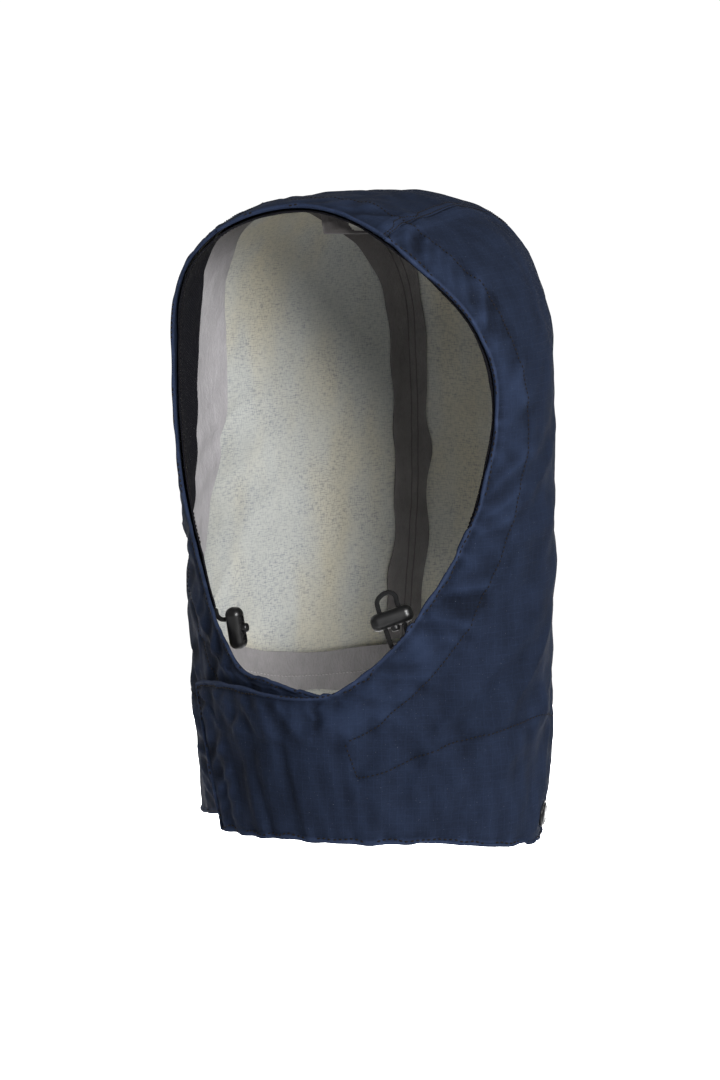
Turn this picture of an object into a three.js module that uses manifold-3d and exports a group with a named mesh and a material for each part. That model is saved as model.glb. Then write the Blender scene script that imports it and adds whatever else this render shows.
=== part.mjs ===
// Detachable arc flash hood of flame-resistant cloth, held in its worn form.
// Millimetres, +Z up. The wearer faces -Y and the wearer's left is +X.
// The origin is the seat on the head, at the inner face of the crown.
import * as THREE from 'three';
import { mergeVertices } from 'three/addons/utils/BufferGeometryUtils.js';
import Module from 'manifold-3d';

// Driving sizes of the cloth form
const WALL = 1.6;
const DOME_HEIGHT = 113.7;
const SKIRT_HEIGHT = 275;
const HALF_WIDTH = 113.6;
const FRONT_REACH = 96;
const BACK_REACH = 150;
const SEAM_HALF_WIDTH = 50;
const OPENING_HALF_WIDTH = 110;
const OPENING_HEIGHT = 276;
const UNDERLAP_REACH = 30;
const FLAP_LIFT_FROM_X = 74;
const FLAP_LIFT_FROM_Z = -205;
const FLAP_LIFT_RUN = 30;

// Clearances and thin pieces
const SEAM_GAP = 0.3;
const LAYER_GAP = 1.5;
const LAP_GAP = 2.2;
const FACING_THICKNESS = 1;
const TAPE_THICKNESS = 0.6;
const FACING_WIDTH = 30;
const TAPE_WIDTH = 26;
const EDGE_INSET = 0.8;
const STRIP_GAP = 0.9;
const FACING_ENDS = { right: 0.86, left: 0.91 };
const TAPE_END = 0.75;
const NECK_TAPE_FROM_TURN = 38;
const NECK_TAPE_ABOVE = 15;
const NECK_TAPE_SLACK = 2;
const SEAM_TAPE_INSET = 12;
const STUD_SEAT_GAP = 0.7;
const STUD_SOCKET_GAP = 0.9;
const BUTTON_ROUND = 1.6;

// Shape of the round sections
const FRONT_SQUARENESS = 1.5;
const BACK_SQUARENESS = 1;
const DOME_SQUARENESS = 2.6;
const CORNER_SHARPNESS = 16;
const SIDE_RUN = 1.404;
const SIDE_SOFTNESS = 25;
const CENTRE_Z = WALL - DOME_HEIGHT;

// Sections from the widest level down: shares of the skirt height, half width, reaches and seam
const SECTIONS = [
  { down: 0, half_width: 1, front: 1.79, back: 0.95, seam: 0.95 },
  { down: 0.29, half_width: 1, front: 1.1, back: 1.03, seam: 0.98 },
  { down: 0.545, half_width: 1, front: 1, back: 1, seam: 1.02 },
  { down: 0.765, half_width: 0.985, front: 0.95, back: 0.98, seam: 1.04 },
  { down: 1, half_width: 0.96, front: 0.85, back: 0.99, seam: 1.08 },
];

// Face edge from the brow to the chin: shares of the opening height, its half width and the front reach
const FACE_EDGE = [
  { down: 0.0, out: 0.0, fore: 0.77 },
  { down: 0.013, out: 0.2, fore: 0.77 },
  { down: 0.035, out: 0.34, fore: 0.79 },
  { down: 0.067, out: 0.49, fore: 0.79 },
  { down: 0.112, out: 0.635, fore: 0.77 },
  { down: 0.16, out: 0.753, fore: 0.705 },
  { down: 0.213, out: 0.861, fore: 0.611 },
  { down: 0.272, out: 0.936, fore: 0.542 },
  { down: 0.33, out: 0.985, fore: 0.497 },
  { down: 0.38, out: 1, fore: 0.49 },
  { down: 0.46, out: 0.99, fore: 0.486 },
  { down: 0.525, out: 0.953, fore: 0.512 },
  { down: 0.587, out: 0.918, fore: 0.52 },
  { down: 0.636, out: 0.872, fore: 0.552 },
  { down: 0.697, out: 0.817, fore: 0.59 },
  { down: 0.75, out: 0.764, fore: 0.633 },
  { down: 0.805, out: 0.682, fore: 0.693 },
  { down: 0.86, out: 0.605, fore: 0.757 },
  { down: 0.91, out: 0.496, fore: 0.82 },
  { down: 0.95, out: 0.395, fore: 0.865 },
  { down: 0.978, out: 0.313, fore: 0.9 },
  { down: 0.995, out: 0.223, fore: 0.933 },
];

// The left panel goes on across the chin as the flap, the right one goes on under it
const FLAP_TOP = [
  { down: 1.003, out: 0.085, fore: 0.975 },
  { down: 1.004, out: -0.1, fore: 0.97 },
  { down: 1.006, out: -0.3, fore: 0.9 },
  { down: 1.016, out: -0.48, fore: 0.8 },
  { down: 1.03, out: -0.65, fore: 0.685 },
  { down: 1.045, out: -0.73, fore: 0.615 },
];
const UNDERLAP_TOP = [
  { down: 0.98, out: 0.08, fore: 0.975 },
  { down: 0.982, out: -0.06, fore: 0.975 },
];
const UNDERLAP_END = { down: 0.985, fore: 0.935 };

// Flap edge: shares of the flap height, and the turn round the neck in degrees to the wearer's left
const FLAP_EDGE = [
  { down: 0, turn: -54 },
  { down: 0.57, turn: -46.5 },
  { down: 1, turn: -43 },
];

// Hem height by turn from the front, each side on its own: shares of the skirt height
const LEFT_HEM = [
  { turn: -43, down: 0.947 },
  { turn: -22, down: 0.929 },
  { turn: 0, down: 0.912 },
  { turn: 38, down: 0.907 },
  { turn: 59, down: 0.911 },
  { turn: 81, down: 0.934 },
  { turn: 106, down: 0.963 },
  { turn: 135, down: 0.99 },
  { turn: 180, down: 1 },
];
const RIGHT_HEM = [
  { turn: -40, down: 0.909 },
  { turn: 0, down: 0.909 },
  { turn: 46, down: 0.918 },
  { turn: 67, down: 0.955 },
  { turn: 100, down: 0.972 },
  { turn: 135, down: 0.99 },
  { turn: 180, down: 1 },
];

// Middle line of the neck tape's seam by turn: shares of the skirt height
const NECK_SEAM = [
  { turn: 0, down: 0.8 },
  { turn: 26, down: 0.764 },
  { turn: 35, down: 0.749 },
  { turn: 58, down: 0.697 },
  { turn: 83, down: 0.672 },
  { turn: 96, down: 0.683 },
  { turn: 115, down: 0.716 },
  { turn: 140, down: 0.734 },
  { turn: 180, down: 0.75 },
];

// Folds of the cloth: a line by turn and share of the skirt height, its half width and its depth inwards
const LEFT_FOLDS = [
  { turn: -21, down: 0.64, to_turn: -43, to_down: 0.74, wide: 0.6, deep: 0.5 },
  { turn: -18, down: 0.72, to_turn: -35, to_down: 0.85, wide: 0.7, deep: 0.6 },
  { turn: 2, down: 0.63, to_turn: -1, to_down: 0.9, wide: 0.9, deep: 0.8 },
  { turn: -8, down: 0.64, to_turn: -14, to_down: 0.89, wide: 0.7, deep: -0.5 },
  { turn: 11, down: 0.63, to_turn: 9, to_down: 0.85, wide: 0.7, deep: -0.5 },
  { turn: 18, down: 0.81, to_turn: 16, to_down: 0.9, wide: 0.7, deep: 0.7 },
  { turn: 49, down: 0.73, to_turn: 41, to_down: 0.85, wide: 0.9, deep: 0.7 },
  { turn: 83, down: 0.39, to_turn: 68, to_down: 0.49, wide: 1.1, deep: 0.9 },
  { turn: 79, down: 0.55, to_turn: 84, to_down: 0.62, wide: 0.9, deep: 0.6 },
];
const CROWN_FOLDS = [
  { turn: 62, down: -0.37, to_turn: 93, to_down: -0.27, wide: 2, deep: 1.4 },
];
const RIGHT_FOLDS = [
  { turn: 52, down: 0.5, to_turn: 60, to_down: 0.62, wide: 0.8, deep: 0.5 },
  { turn: 78, down: 0.42, to_turn: 70, to_down: 0.52, wide: 1, deep: 0.8 },
];
const FOLD_WIDTH = 10;
const FOLD_DEPTH = 3;
const FOLD_RADIUS = 105;

// Cord, cord locks and press studs
const CORD_DIAMETER = 2.8;
const FIT_CLEARANCE = 0.3;
const LOCK_LENGTH = 25;
const LOCK_WIDTH = 10;
const LOCK_DEPTH = 10;
const LOCK_BEVEL = 2.6;
const LOCK_HOLE_SPACING = 11.2;
const BUTTON_DIAMETER = 5.6;
const BUTTON_TRAVEL = 2.2;
const BUTTON_PROUD = 2.6;
const POCKET_DEPTH = 6;
const STUD_DIAMETER = 15.5;
const STUD_CAP_HEIGHT = 2.6;
const STUD_SHANK_DIAMETER = 5;
const STUD_SOCKET_DIAMETER = 12.6;
const STUD_SOCKET_HEIGHT = 1.6;
const STUD_TURN = 98;
const STUD_ABOVE_HEM = 15;

// Cord locks where they hang: centre, the way of the long side and the way that the cord leaves
const LEFT_LOCK = { centre: [52, -64, -232], long: [0.82, 0.47, 0.34], cord: [-0.385, -0.015, 0.92] };
const RIGHT_LOCK = { centre: [-49.5, -68.4, -249.1], long: [-0.126, -0.07, 0.98], cord: [-0.98, -0.15, -0.1] };

// Routes of the cord's visible ends, chosen by hand along the tunnel ends, the locks and the loop
const LEFT_CORD_ROUTE = [
  [60.2, -68.3, -252.8], [57.9, -67.2, -252.2], [55.5, -66.6, -250.5], [53.4, -66.5, -248], [51.96, -66.5, -245],
  [50.45, -66.54, -241.3], [47.43, -66.62, -233.9], [44.41, -66.7, -226.49], [43.7, -66.4, -223.3],
  [45, -65.2, -220.2], [47.6, -63.8, -218.2], [50.4, -62.4, -217.9], [52.7, -61.6, -219.6],
  [53.55, -61.46, -222.7], [56.57, -61.38, -230.1], [59.59, -61.3, -237.51], [61.1, -61.2, -241],
  [63.3, -61.2, -243.4], [66, -62.4, -244.2], [68.4, -64.3, -243.6],
];
const RIGHT_CORD_ROUTE = [
  [-48.25, -68.5, -243.29], [-50.21, -68.8, -243.56], [-55.11, -69.54, -244.24], [-58.05, -69.98, -244.65],
  [-61, -69.6, -243.8], [-63.3, -68.3, -242], [-65, -66.3, -240.8], [-66.9, -63.9, -242.6],
  [-69.9, -60.9, -246.6], [-73.2, -57, -250.8],
];

// Divisions of the meshes
const SEAM_DOME_STEPS = 15;
const SEAM_DROP_STEPS = 9;
const LEFT_STEPS = 34;
const RIGHT_STEPS = 26;
const CENTRE_STEPS = 8;
const STRIP_ACROSS = 3;
const ROUND_SIDES = 16;
const FACING_STEPS = 40;
const TAPE_STEPS = 32;
const SEAM_TAPE_STEPS = 20;
const SEAM_TAPE_FINE = 200;
const NECK_TAPE_STEPS = 28;
const CORD_SIDES = 8;
const CORD_STEP = 1.3;
const MERGE_DISTANCE = 1e-4;
const SURFACE_PASSES = 14;
const BISECTIONS = 30;
const HEM_POINTS = 24;
const PROBE = 0.5;
const EDGE_FADE = 2;
const BROW_ROWS = 3;
const FOLDS = [
  ...LEFT_FOLDS,
  ...CROWN_FOLDS,
  ...RIGHT_FOLDS.map((fold) => ({ ...fold, turn: -fold.turn, to_turn: -fold.to_turn })),
];

const COLOURS = {
  cloth: { color: 0x24304a, roughness: 0.85, metalness: 0 },
  facing: { color: 0x14141c, roughness: 0.9, metalness: 0 },
  tape: { color: 0x8f8c8a, roughness: 0.7, metalness: 0 },
  cord: { color: 0x101012, roughness: 0.8, metalness: 0 },
  plastic: { color: 0x0b0b0c, roughness: 0.3, metalness: 0 },
  stud: { color: 0x0c0c0e, roughness: 0.25, metalness: 0.4 },
};

// Smooth value of one column of a table at a place along its key column
function column(rows, key, place, name) {
  const last = rows.length - 1;
  let k = 0;
  while (k < last - 1 && place > rows[k + 1][key]) k += 1;
  const slope = (i) => {
    const low = rows[Math.max(0, i - 1)];
    const high = rows[Math.min(last, i + 1)];
    return (high[name] - low[name]) / (high[key] - low[key]);
  };
  const span = rows[k + 1][key] - rows[k][key];
  const t = THREE.MathUtils.clamp((place - rows[k][key]) / span, 0, 1);
  const t2 = t * t;
  const t3 = t2 * t;
  const start = (2 * t3 - 3 * t2 + 1) * rows[k][name] + (t3 - 2 * t2 + t) * span * slope(k);
  const end = (3 * t2 - 2 * t3) * rows[k + 1][name] + (t3 - t2) * span * slope(k + 1);
  return start + end;
}

const section = (z, name) => column(SECTIONS, 'down', Math.max(0, (CENTRE_Z - z) / SKIRT_HEIGHT), name);

// One on the outer cloth surface, less inside it and more outside it
function gauge(p) {
  const front = p.y < 0;
  const half = HALF_WIDTH * section(p.z, 'half_width');
  const frontDepth = FRONT_REACH * section(p.z, 'front');
  const frontRun = Math.hypot(frontDepth, SIDE_SOFTNESS) - SIDE_SOFTNESS;
  const back = BACK_REACH * section(p.z, 'back');
  const run = front ? frontRun : back * SIDE_RUN;
  const square = front ? FRONT_SQUARENESS : BACK_SQUARENESS;
  const along = Math.hypot(p.y, SIDE_SOFTNESS) - SIDE_SOFTNESS;
  const side = ((Math.abs(p.x) / half) ** square + (along / run) ** square) ** (1 / square);
  const flat = front ? 0 : p.y / back;
  const ring = (side ** CORNER_SHARPNESS + flat ** CORNER_SHARPNESS) ** (1 / CORNER_SHARPNESS);
  const up = Math.max(0, p.z - CENTRE_Z) / DOME_HEIGHT;
  return (ring ** DOME_SQUARENESS + up ** DOME_SQUARENESS) ** (1 / DOME_SQUARENESS);
}

// The nearest point of the outer surface along the way out from the middle of the head
function onSurface(p) {
  const q = p.clone();
  for (let pass = 0; pass < SURFACE_PASSES; pass += 1) {
    const g = gauge(q);
    if (q.z > CENTRE_Z) q.z = CENTRE_Z + (q.z - CENTRE_Z) / g;
    q.x /= g;
    q.y /= g;
  }
  return q;
}

function normalAt(p) {
  const rise = (axis) => {
    const ahead = p.clone();
    const behind = p.clone();
    ahead[axis] += PROBE;
    behind[axis] -= PROBE;
    return gauge(ahead) - gauge(behind);
  };
  return new THREE.Vector3(rise('x'), rise('y'), rise('z')).normalize();
}

const turnOf = (p) => THREE.MathUtils.radToDeg(Math.atan2(p.x, -p.y));

// How far the folds push a point of the cloth inwards
function foldDepth(p) {
  const here = new THREE.Vector2(THREE.MathUtils.degToRad(turnOf(p)) * FOLD_RADIUS, p.z);
  const spot = (turn, down) => new THREE.Vector2(
    THREE.MathUtils.degToRad(turn) * FOLD_RADIUS,
    CENTRE_Z - down * SKIRT_HEIGHT,
  );
  let depth = 0;
  for (const fold of FOLDS) {
    const from = spot(fold.turn, fold.down);
    const run = spot(fold.to_turn, fold.to_down).sub(from);
    const t = THREE.MathUtils.clamp(here.clone().sub(from).dot(run) / run.lengthSq(), 0, 1);
    const away = here.distanceTo(from.addScaledVector(run, t)) / (fold.wide * FOLD_WIDTH);
    depth += fold.deep * FOLD_DEPTH * Math.exp(-away * away);
  }
  return depth;
}

// A point of a layer at a depth below the outer surface
function layerPoint(p, depth) {
  return p.clone().addScaledVector(normalAt(p), -(depth + foldDepth(p)));
}

// The flap stands off the surface far enough to pass over the underlap
function flapLift(p) {
  const across = THREE.MathUtils.smoothstep(FLAP_LIFT_FROM_X - p.x, 0, FLAP_LIFT_RUN);
  const below = THREE.MathUtils.smoothstep(FLAP_LIFT_FROM_Z - p.z, 0, FLAP_LIFT_RUN);
  return (WALL + LAP_GAP) * across * below;
}

// Even points along a smooth curve
function evenPoints(points, steps) {
  return new THREE.CatmullRomCurve3(points, false, 'centripetal').getSpacedPoints(steps).map(onSurface);
}

const edgePoint = (row, side) => onSurface(new THREE.Vector3(
  side * row.out * OPENING_HALF_WIDTH,
  -row.fore * FRONT_REACH,
  -row.down * OPENING_HEIGHT,
));

const ringPoint = (turn, z) => {
  const angle = THREE.MathUtils.degToRad(turn);
  return onSurface(new THREE.Vector3(Math.sin(angle) * HALF_WIDTH, -Math.cos(angle) * HALF_WIDTH, z));
};

// The seam between the centre panel and a side panel, from the brow over the crown to the hem
function seamLine(side, hem, shift) {
  const corner = edgePoint(FACE_EDGE[BROW_ROWS], side);
  const solve = (x, dy, dz) => {
    let low = 0;
    let high = 2 * BACK_REACH;
    for (let pass = 0; pass < BISECTIONS; pass += 1) {
      const r = (low + high) / 2;
      if (gauge(new THREE.Vector3(x, dy.start + dy.way * r, dz.start + dz.way * r)) < 1) low = r;
      else high = r;
    }
    return new THREE.Vector3(x, dy.start + dy.way * low, dz.start + dz.way * low);
  };
  const points = [];
  const start = Math.atan2(corner.z - CENTRE_Z, -corner.y);
  for (let k = 0; k <= SEAM_DOME_STEPS; k += 1) {
    const t = k / SEAM_DOME_STEPS;
    const angle = THREE.MathUtils.lerp(start, Math.PI, t);
    const crown = SEAM_HALF_WIDTH * SECTIONS[0].seam;
    const x = THREE.MathUtils.lerp(Math.abs(corner.x), crown, THREE.MathUtils.smoothstep(t, 0, 1));
    points.push(solve(
      side * (x + shift),
      { start: 0, way: -Math.cos(angle) },
      { start: CENTRE_Z, way: Math.sin(angle) },
    ));
  }
  const backTurn = 180 - THREE.MathUtils.radToDeg(Math.atan2(SEAM_HALF_WIDTH, BACK_REACH));
  const bottom = CENTRE_Z - SKIRT_HEIGHT * column(hem, 'turn', backTurn, 'down');
  for (let k = 1; k <= SEAM_DROP_STEPS; k += 1) {
    const z = THREE.MathUtils.lerp(CENTRE_Z, bottom, k / SEAM_DROP_STEPS);
    const x = SEAM_HALF_WIDTH * section(z, 'seam');
    points.push(solve(side * (x + shift), { start: 0, way: 1 }, { start: z, way: 0 }));
  }
  return points;
}

// The hem from a panel's seam round to its front end
function hemLine(side, hem, corner, endTurn, steps) {
  const from = side * turnOf(corner);
  const points = [corner];
  for (let k = 1; k <= HEM_POINTS; k += 1) {
    const turn = THREE.MathUtils.lerp(from, endTurn, k / HEM_POINTS);
    points.push(ringPoint(side * turn, CENTRE_Z - SKIRT_HEIGHT * column(hem, 'turn', turn, 'down')));
  }
  return evenPoints(points, steps);
}

// The points of a panel between its four edges, drawn onto the surface. A fade above one keeps the
// way of the first and last edge near them, so that the lines between stay clear of a hollow top edge.
function panelGrid(top, bottom, start, end, fade) {
  const columns = top.length - 1;
  const rows = start.length - 1;
  const straight = (i, v) => top[i].clone().lerp(bottom[i], v);
  return top.map((_, i) => start.map((__, j) => {
    const u = i / columns;
    const v = j / rows;
    const p = straight(i, v);
    p.addScaledVector(start[j].clone().sub(straight(0, v)), (1 - u) ** fade);
    p.addScaledVector(end[j].clone().sub(straight(columns, v)), u ** fade);
    return i === 0 ? start[j].clone() : onSurface(p);
  }));
}

// A closed wall over a grid of surface points, between two depths
function wallGeometry(grid, outerDepth, thickness, lift = () => 0) {
  const columns = grid.length;
  const rows = grid[0].length;
  const layer = (extra) => grid.flatMap((line) => line.map((p) => layerPoint(p, outerDepth + extra - lift(p))));
  const points = [...layer(0), ...layer(thickness)];
  const at = (i, j, inner) => inner * columns * rows + i * rows + j;
  const faces = [];
  const quad = (a, b, c, d) => faces.push(a, b, c, a, c, d);
  for (let i = 0; i < columns - 1; i += 1) {
    for (let j = 0; j < rows - 1; j += 1) {
      quad(at(i, j, 0), at(i + 1, j, 0), at(i + 1, j + 1, 0), at(i, j + 1, 0));
      quad(at(i, j, 1), at(i, j + 1, 1), at(i + 1, j + 1, 1), at(i + 1, j, 1));
    }
  }
  for (let i = 0; i < columns - 1; i += 1) {
    quad(at(i, 0, 0), at(i, 0, 1), at(i + 1, 0, 1), at(i + 1, 0, 0));
    quad(at(i, rows - 1, 0), at(i + 1, rows - 1, 0), at(i + 1, rows - 1, 1), at(i, rows - 1, 1));
  }
  for (let j = 0; j < rows - 1; j += 1) {
    quad(at(0, j, 0), at(0, j + 1, 0), at(0, j + 1, 1), at(0, j, 1));
    quad(at(columns - 1, j, 0), at(columns - 1, j, 1), at(columns - 1, j + 1, 1), at(columns - 1, j + 1, 0));
  }
  let volume = 0;
  for (let k = 0; k < faces.length; k += 3) {
    const [a, b, c] = [points[faces[k]], points[faces[k + 1]], points[faces[k + 2]]];
    volume += a.dot(b.clone().cross(c));
  }
  if (volume < 0) faces.reverse();
  const geometry = new THREE.BufferGeometry();
  geometry.setAttribute('position', new THREE.Float32BufferAttribute(points.flatMap((p) => p.toArray()), 3));
  geometry.setIndex(faces);
  return geometry;
}

// Strips run beside a line on the surface: the way across, pointing to one side of the line
function acrossLine(points, k, sign) {
  const ahead = points[Math.min(points.length - 1, k + 1)];
  const behind = points[Math.max(0, k - 1)];
  const along = ahead.clone().sub(behind).normalize();
  return normalAt(points[k]).cross(along).normalize().multiplyScalar(sign);
}

function stripGrid(points, from, to, sign) {
  return points.map((p, k) => {
    const way = acrossLine(points, k, sign);
    const line = [];
    for (let j = 0; j <= STRIP_ACROSS; j += 1) {
      const width = THREE.MathUtils.lerp(from, to, j / STRIP_ACROSS);
      line.push(onSurface(p.clone().addScaledVector(way, width)));
    }
    return line;
  });
}

const wasm = await Module();
wasm.setup();

// Joining and cutting of closed solids
function toSolid(geometry) {
  const plain = geometry.clone();
  plain.deleteAttribute('normal');
  plain.deleteAttribute('uv');
  const merged = mergeVertices(plain, MERGE_DISTANCE);
  return new wasm.Manifold(new wasm.Mesh({
    numProp: 3,
    vertProperties: new Float32Array(merged.attributes.position.array),
    triVerts: new Uint32Array(merged.index.array),
  }));
}

function toGeometry(solid) {
  const mesh = solid.getMesh();
  const geometry = new THREE.BufferGeometry();
  geometry.setAttribute('position', new THREE.BufferAttribute(new Float32Array(mesh.vertProperties), 3));
  geometry.setIndex(new THREE.BufferAttribute(new Uint32Array(mesh.triVerts), 1));
  return geometry;
}

const hood = new THREE.Group();

function add(name, geometry, look, frame = new THREE.Matrix4()) {
  const mesh = new THREE.Mesh(geometry, new THREE.MeshStandardMaterial(COLOURS[look]));
  mesh.name = name;
  mesh.applyMatrix4(frame);
  hood.add(mesh);
}

// Edges shared by the panels, the facing and the tapes
const hemOf = { left: LEFT_HEM, right: RIGHT_HEM };
const sideOf = { left: 1, right: -1 };
const stitchedEdge = (side) => FACE_EDGE.slice(BROW_ROWS).map((row) => edgePoint(row, side));
const panelSteps = SEAM_DOME_STEPS + SEAM_DROP_STEPS;

// The wall of a panel is cut open where a press stud's shank goes through
function studFrame(name) {
  const side = sideOf[name];
  const hemHeight = CENTRE_Z - SKIRT_HEIGHT * column(hemOf[name], 'turn', STUD_TURN, 'down');
  const seat = ringPoint(side * STUD_TURN, hemHeight + STUD_ABOVE_HEM);
  const out = normalAt(seat);
  const turned = new THREE.Quaternion().setFromUnitVectors(new THREE.Vector3(0, 1, 0), out);
  return new THREE.Matrix4().compose(layerPoint(seat, 0), turned, new THREE.Vector3(1, 1, 1));
}

function withStudHole(geometry, name) {
  const radius = STUD_SHANK_DIAMETER / 2 + FIT_CLEARANCE;
  const drill = new THREE.CylinderGeometry(radius, radius, 6 * WALL, ROUND_SIDES);
  drill.applyMatrix4(studFrame(name));
  return toGeometry(toSolid(geometry).subtract(toSolid(drill)));
}

// Left side panel with the closing flap
function leftPanel() {
  const start = seamLine(1, LEFT_HEM, SEAM_GAP);
  const edge = [start[0], ...stitchedEdge(1).slice(1), ...FLAP_TOP.map((row) => edgePoint(row, 1))];
  const top = evenPoints(edge, LEFT_STEPS);
  const bottom = hemLine(1, LEFT_HEM, start[panelSteps], FLAP_EDGE[2].turn, LEFT_STEPS);
  const [high, low] = [top[LEFT_STEPS], bottom[LEFT_STEPS]];
  const end = [];
  for (let k = 0; k <= panelSteps; k += 1) {
    const down = k / panelSteps;
    end.push(ringPoint(column(FLAP_EDGE, 'down', down, 'turn'), THREE.MathUtils.lerp(high.z, low.z, down)));
  }
  end[0] = high;
  end[panelSteps] = low;
  const wall = wallGeometry(panelGrid(top, bottom, start, end, EDGE_FADE), 0, WALL, flapLift);
  add('left_side_panel', withStudHole(wall, 'left'), 'cloth');
}

// Right side panel with the underlap
function rightPanel() {
  const start = seamLine(-1, RIGHT_HEM, SEAM_GAP);
  const last = { ...UNDERLAP_END, out: -UNDERLAP_REACH / OPENING_HALF_WIDTH };
  const lap = [...UNDERLAP_TOP, last].map((row) => edgePoint(row, -1));
  const top = evenPoints([start[0], ...stitchedEdge(-1).slice(1, -1), ...lap], RIGHT_STEPS);
  const high = top[RIGHT_STEPS];
  const endTurn = -turnOf(high);
  const bottom = hemLine(-1, RIGHT_HEM, start[panelSteps], endTurn, RIGHT_STEPS);
  const low = bottom[RIGHT_STEPS];
  const end = [];
  for (let k = 0; k <= panelSteps; k += 1) {
    end.push(ringPoint(turnOf(high), THREE.MathUtils.lerp(high.z, low.z, k / panelSteps)));
  }
  end[0] = high;
  end[panelSteps] = low;
  const wall = wallGeometry(panelGrid(top, bottom, start, end, EDGE_FADE), 0, WALL);
  add('right_side_panel', withStudHole(wall, 'right'), 'cloth');
}

// Centre panel: brow, crown and back
function centrePanel() {
  const left = seamLine(1, LEFT_HEM, 0);
  const right = seamLine(-1, RIGHT_HEM, 0);
  const browRows = FACE_EDGE.slice(1, BROW_ROWS);
  const brow = [
    right[0],
    ...browRows.map((row) => edgePoint(row, -1)).reverse(),
    edgePoint(FACE_EDGE[0], 1),
    ...browRows.map((row) => edgePoint(row, 1)),
    left[0],
  ];
  const top = evenPoints(brow, CENTRE_STEPS);
  const hem = [];
  for (let i = 0; i <= CENTRE_STEPS; i += 1) {
    const share = i / CENTRE_STEPS;
    hem.push(onSurface(right[panelSteps].clone().lerp(left[panelSteps], share)));
  }
  const grid = panelGrid(top, hem, right, left, 1);
  grid[CENTRE_STEPS] = left;
  add('centre_panel', wallGeometry(grid, 0, WALL), 'cloth');
}

// Facing and face tape run along the face edge from the right tunnel end over the brow to the left one
function faceLine(rightEnd, leftEnd, steps) {
  const right = FACE_EDGE.filter((row) => row.down > 0 && row.down <= rightEnd).reverse();
  const left = FACE_EDGE.filter((row) => row.down <= leftEnd);
  const points = [...right.map((row) => edgePoint(row, -1)), ...left.map((row) => edgePoint(row, 1))];
  return evenPoints(points, steps);
}

function facingAndFaceTape() {
  const inside = WALL + LAYER_GAP;
  const facing = stripGrid(faceLine(FACING_ENDS.right, FACING_ENDS.left, FACING_STEPS), EDGE_INSET, FACING_WIDTH, 1);
  add('face_facing', wallGeometry(facing, inside, FACING_THICKNESS), 'facing');
  const start = FACING_WIDTH + STRIP_GAP;
  const tape = stripGrid(faceLine(TAPE_END, TAPE_END, TAPE_STEPS), start, start + TAPE_WIDTH, 1);
  add('face_tape', wallGeometry(tape, inside, TAPE_THICKNESS), 'tape');
}

// Seam tapes inside, from the face tape down to the neck tape
function seamTape(name) {
  const side = sideOf[name];
  const seam = new THREE.CatmullRomCurve3(seamLine(side, hemOf[name], 0), false, 'centripetal');
  const fine = seam.getSpacedPoints(SEAM_TAPE_FINE);
  const from = FACING_WIDTH + TAPE_WIDTH + SEAM_TAPE_INSET;
  const neck = CENTRE_Z - SKIRT_HEIGHT * column(NECK_SEAM, 'turn', 180, 'down') + NECK_TAPE_ABOVE + STRIP_GAP;
  const kept = fine.filter((p) => p.distanceTo(fine[0]) > from && p.z > neck + NECK_TAPE_SLACK);
  const line = evenPoints(kept, SEAM_TAPE_STEPS);
  const grid = stripGrid(line, -TAPE_WIDTH / 2, TAPE_WIDTH / 2, 1);
  add(`${name}_seam_tape`, wallGeometry(grid, WALL + LAYER_GAP, TAPE_THICKNESS), 'tape');
}

function neckTape() {
  const grid = [];
  for (let k = 0; k <= NECK_TAPE_STEPS; k += 1) {
    const turn = THREE.MathUtils.lerp(NECK_TAPE_FROM_TURN, 360 - NECK_TAPE_FROM_TURN, k / NECK_TAPE_STEPS);
    const own = Math.min(turn, 360 - turn);
    const middle = CENTRE_Z - SKIRT_HEIGHT * column(NECK_SEAM, 'turn', own, 'down');
    const line = [];
    for (let j = 0; j <= STRIP_ACROSS; j += 1) {
      line.push(ringPoint(turn, middle + NECK_TAPE_ABOVE - TAPE_WIDTH * (j / STRIP_ACROSS)));
    }
    grid.push(line);
  }
  add('neck_tape', wallGeometry(grid, WALL + LAYER_GAP, TAPE_THICKNESS), 'tape');
}

// Cord: a round tube along its route
function cordTube(name, route) {
  const path = new THREE.CatmullRomCurve3(route.map((p) => new THREE.Vector3(...p)), false, 'centripetal');
  const section = new THREE.Shape();
  for (let k = 0; k < CORD_SIDES; k += 1) {
    const angle = (2 * Math.PI * k) / CORD_SIDES;
    const [x, y] = [Math.cos(angle) * CORD_DIAMETER / 2, Math.sin(angle) * CORD_DIAMETER / 2];
    if (k === 0) section.moveTo(x, y);
    else section.lineTo(x, y);
  }
  const steps = Math.ceil(path.getLength() / (CORD_STEP * CORD_DIAMETER));
  add(name, new THREE.ExtrudeGeometry(section, { steps, extrudePath: path }), 'cord');
}

// Cord lock: an oval body with two cord holes and a pocket for its push button
function lockFrame(lock) {
  const long = new THREE.Vector3(...lock.long).normalize();
  const cord = new THREE.Vector3(...lock.cord);
  cord.addScaledVector(long, -cord.dot(long)).normalize();
  const width = cord.clone().cross(long);
  return new THREE.Matrix4().makeBasis(long, width, cord).setPosition(...lock.centre);
}

function cylinderAlongZ(diameter, from, to, x) {
  const shape = new THREE.CylinderGeometry(diameter / 2, diameter / 2, to - from, ROUND_SIDES);
  shape.rotateX(Math.PI / 2);
  return shape.translate(x, 0, (from + to) / 2);
}

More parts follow.
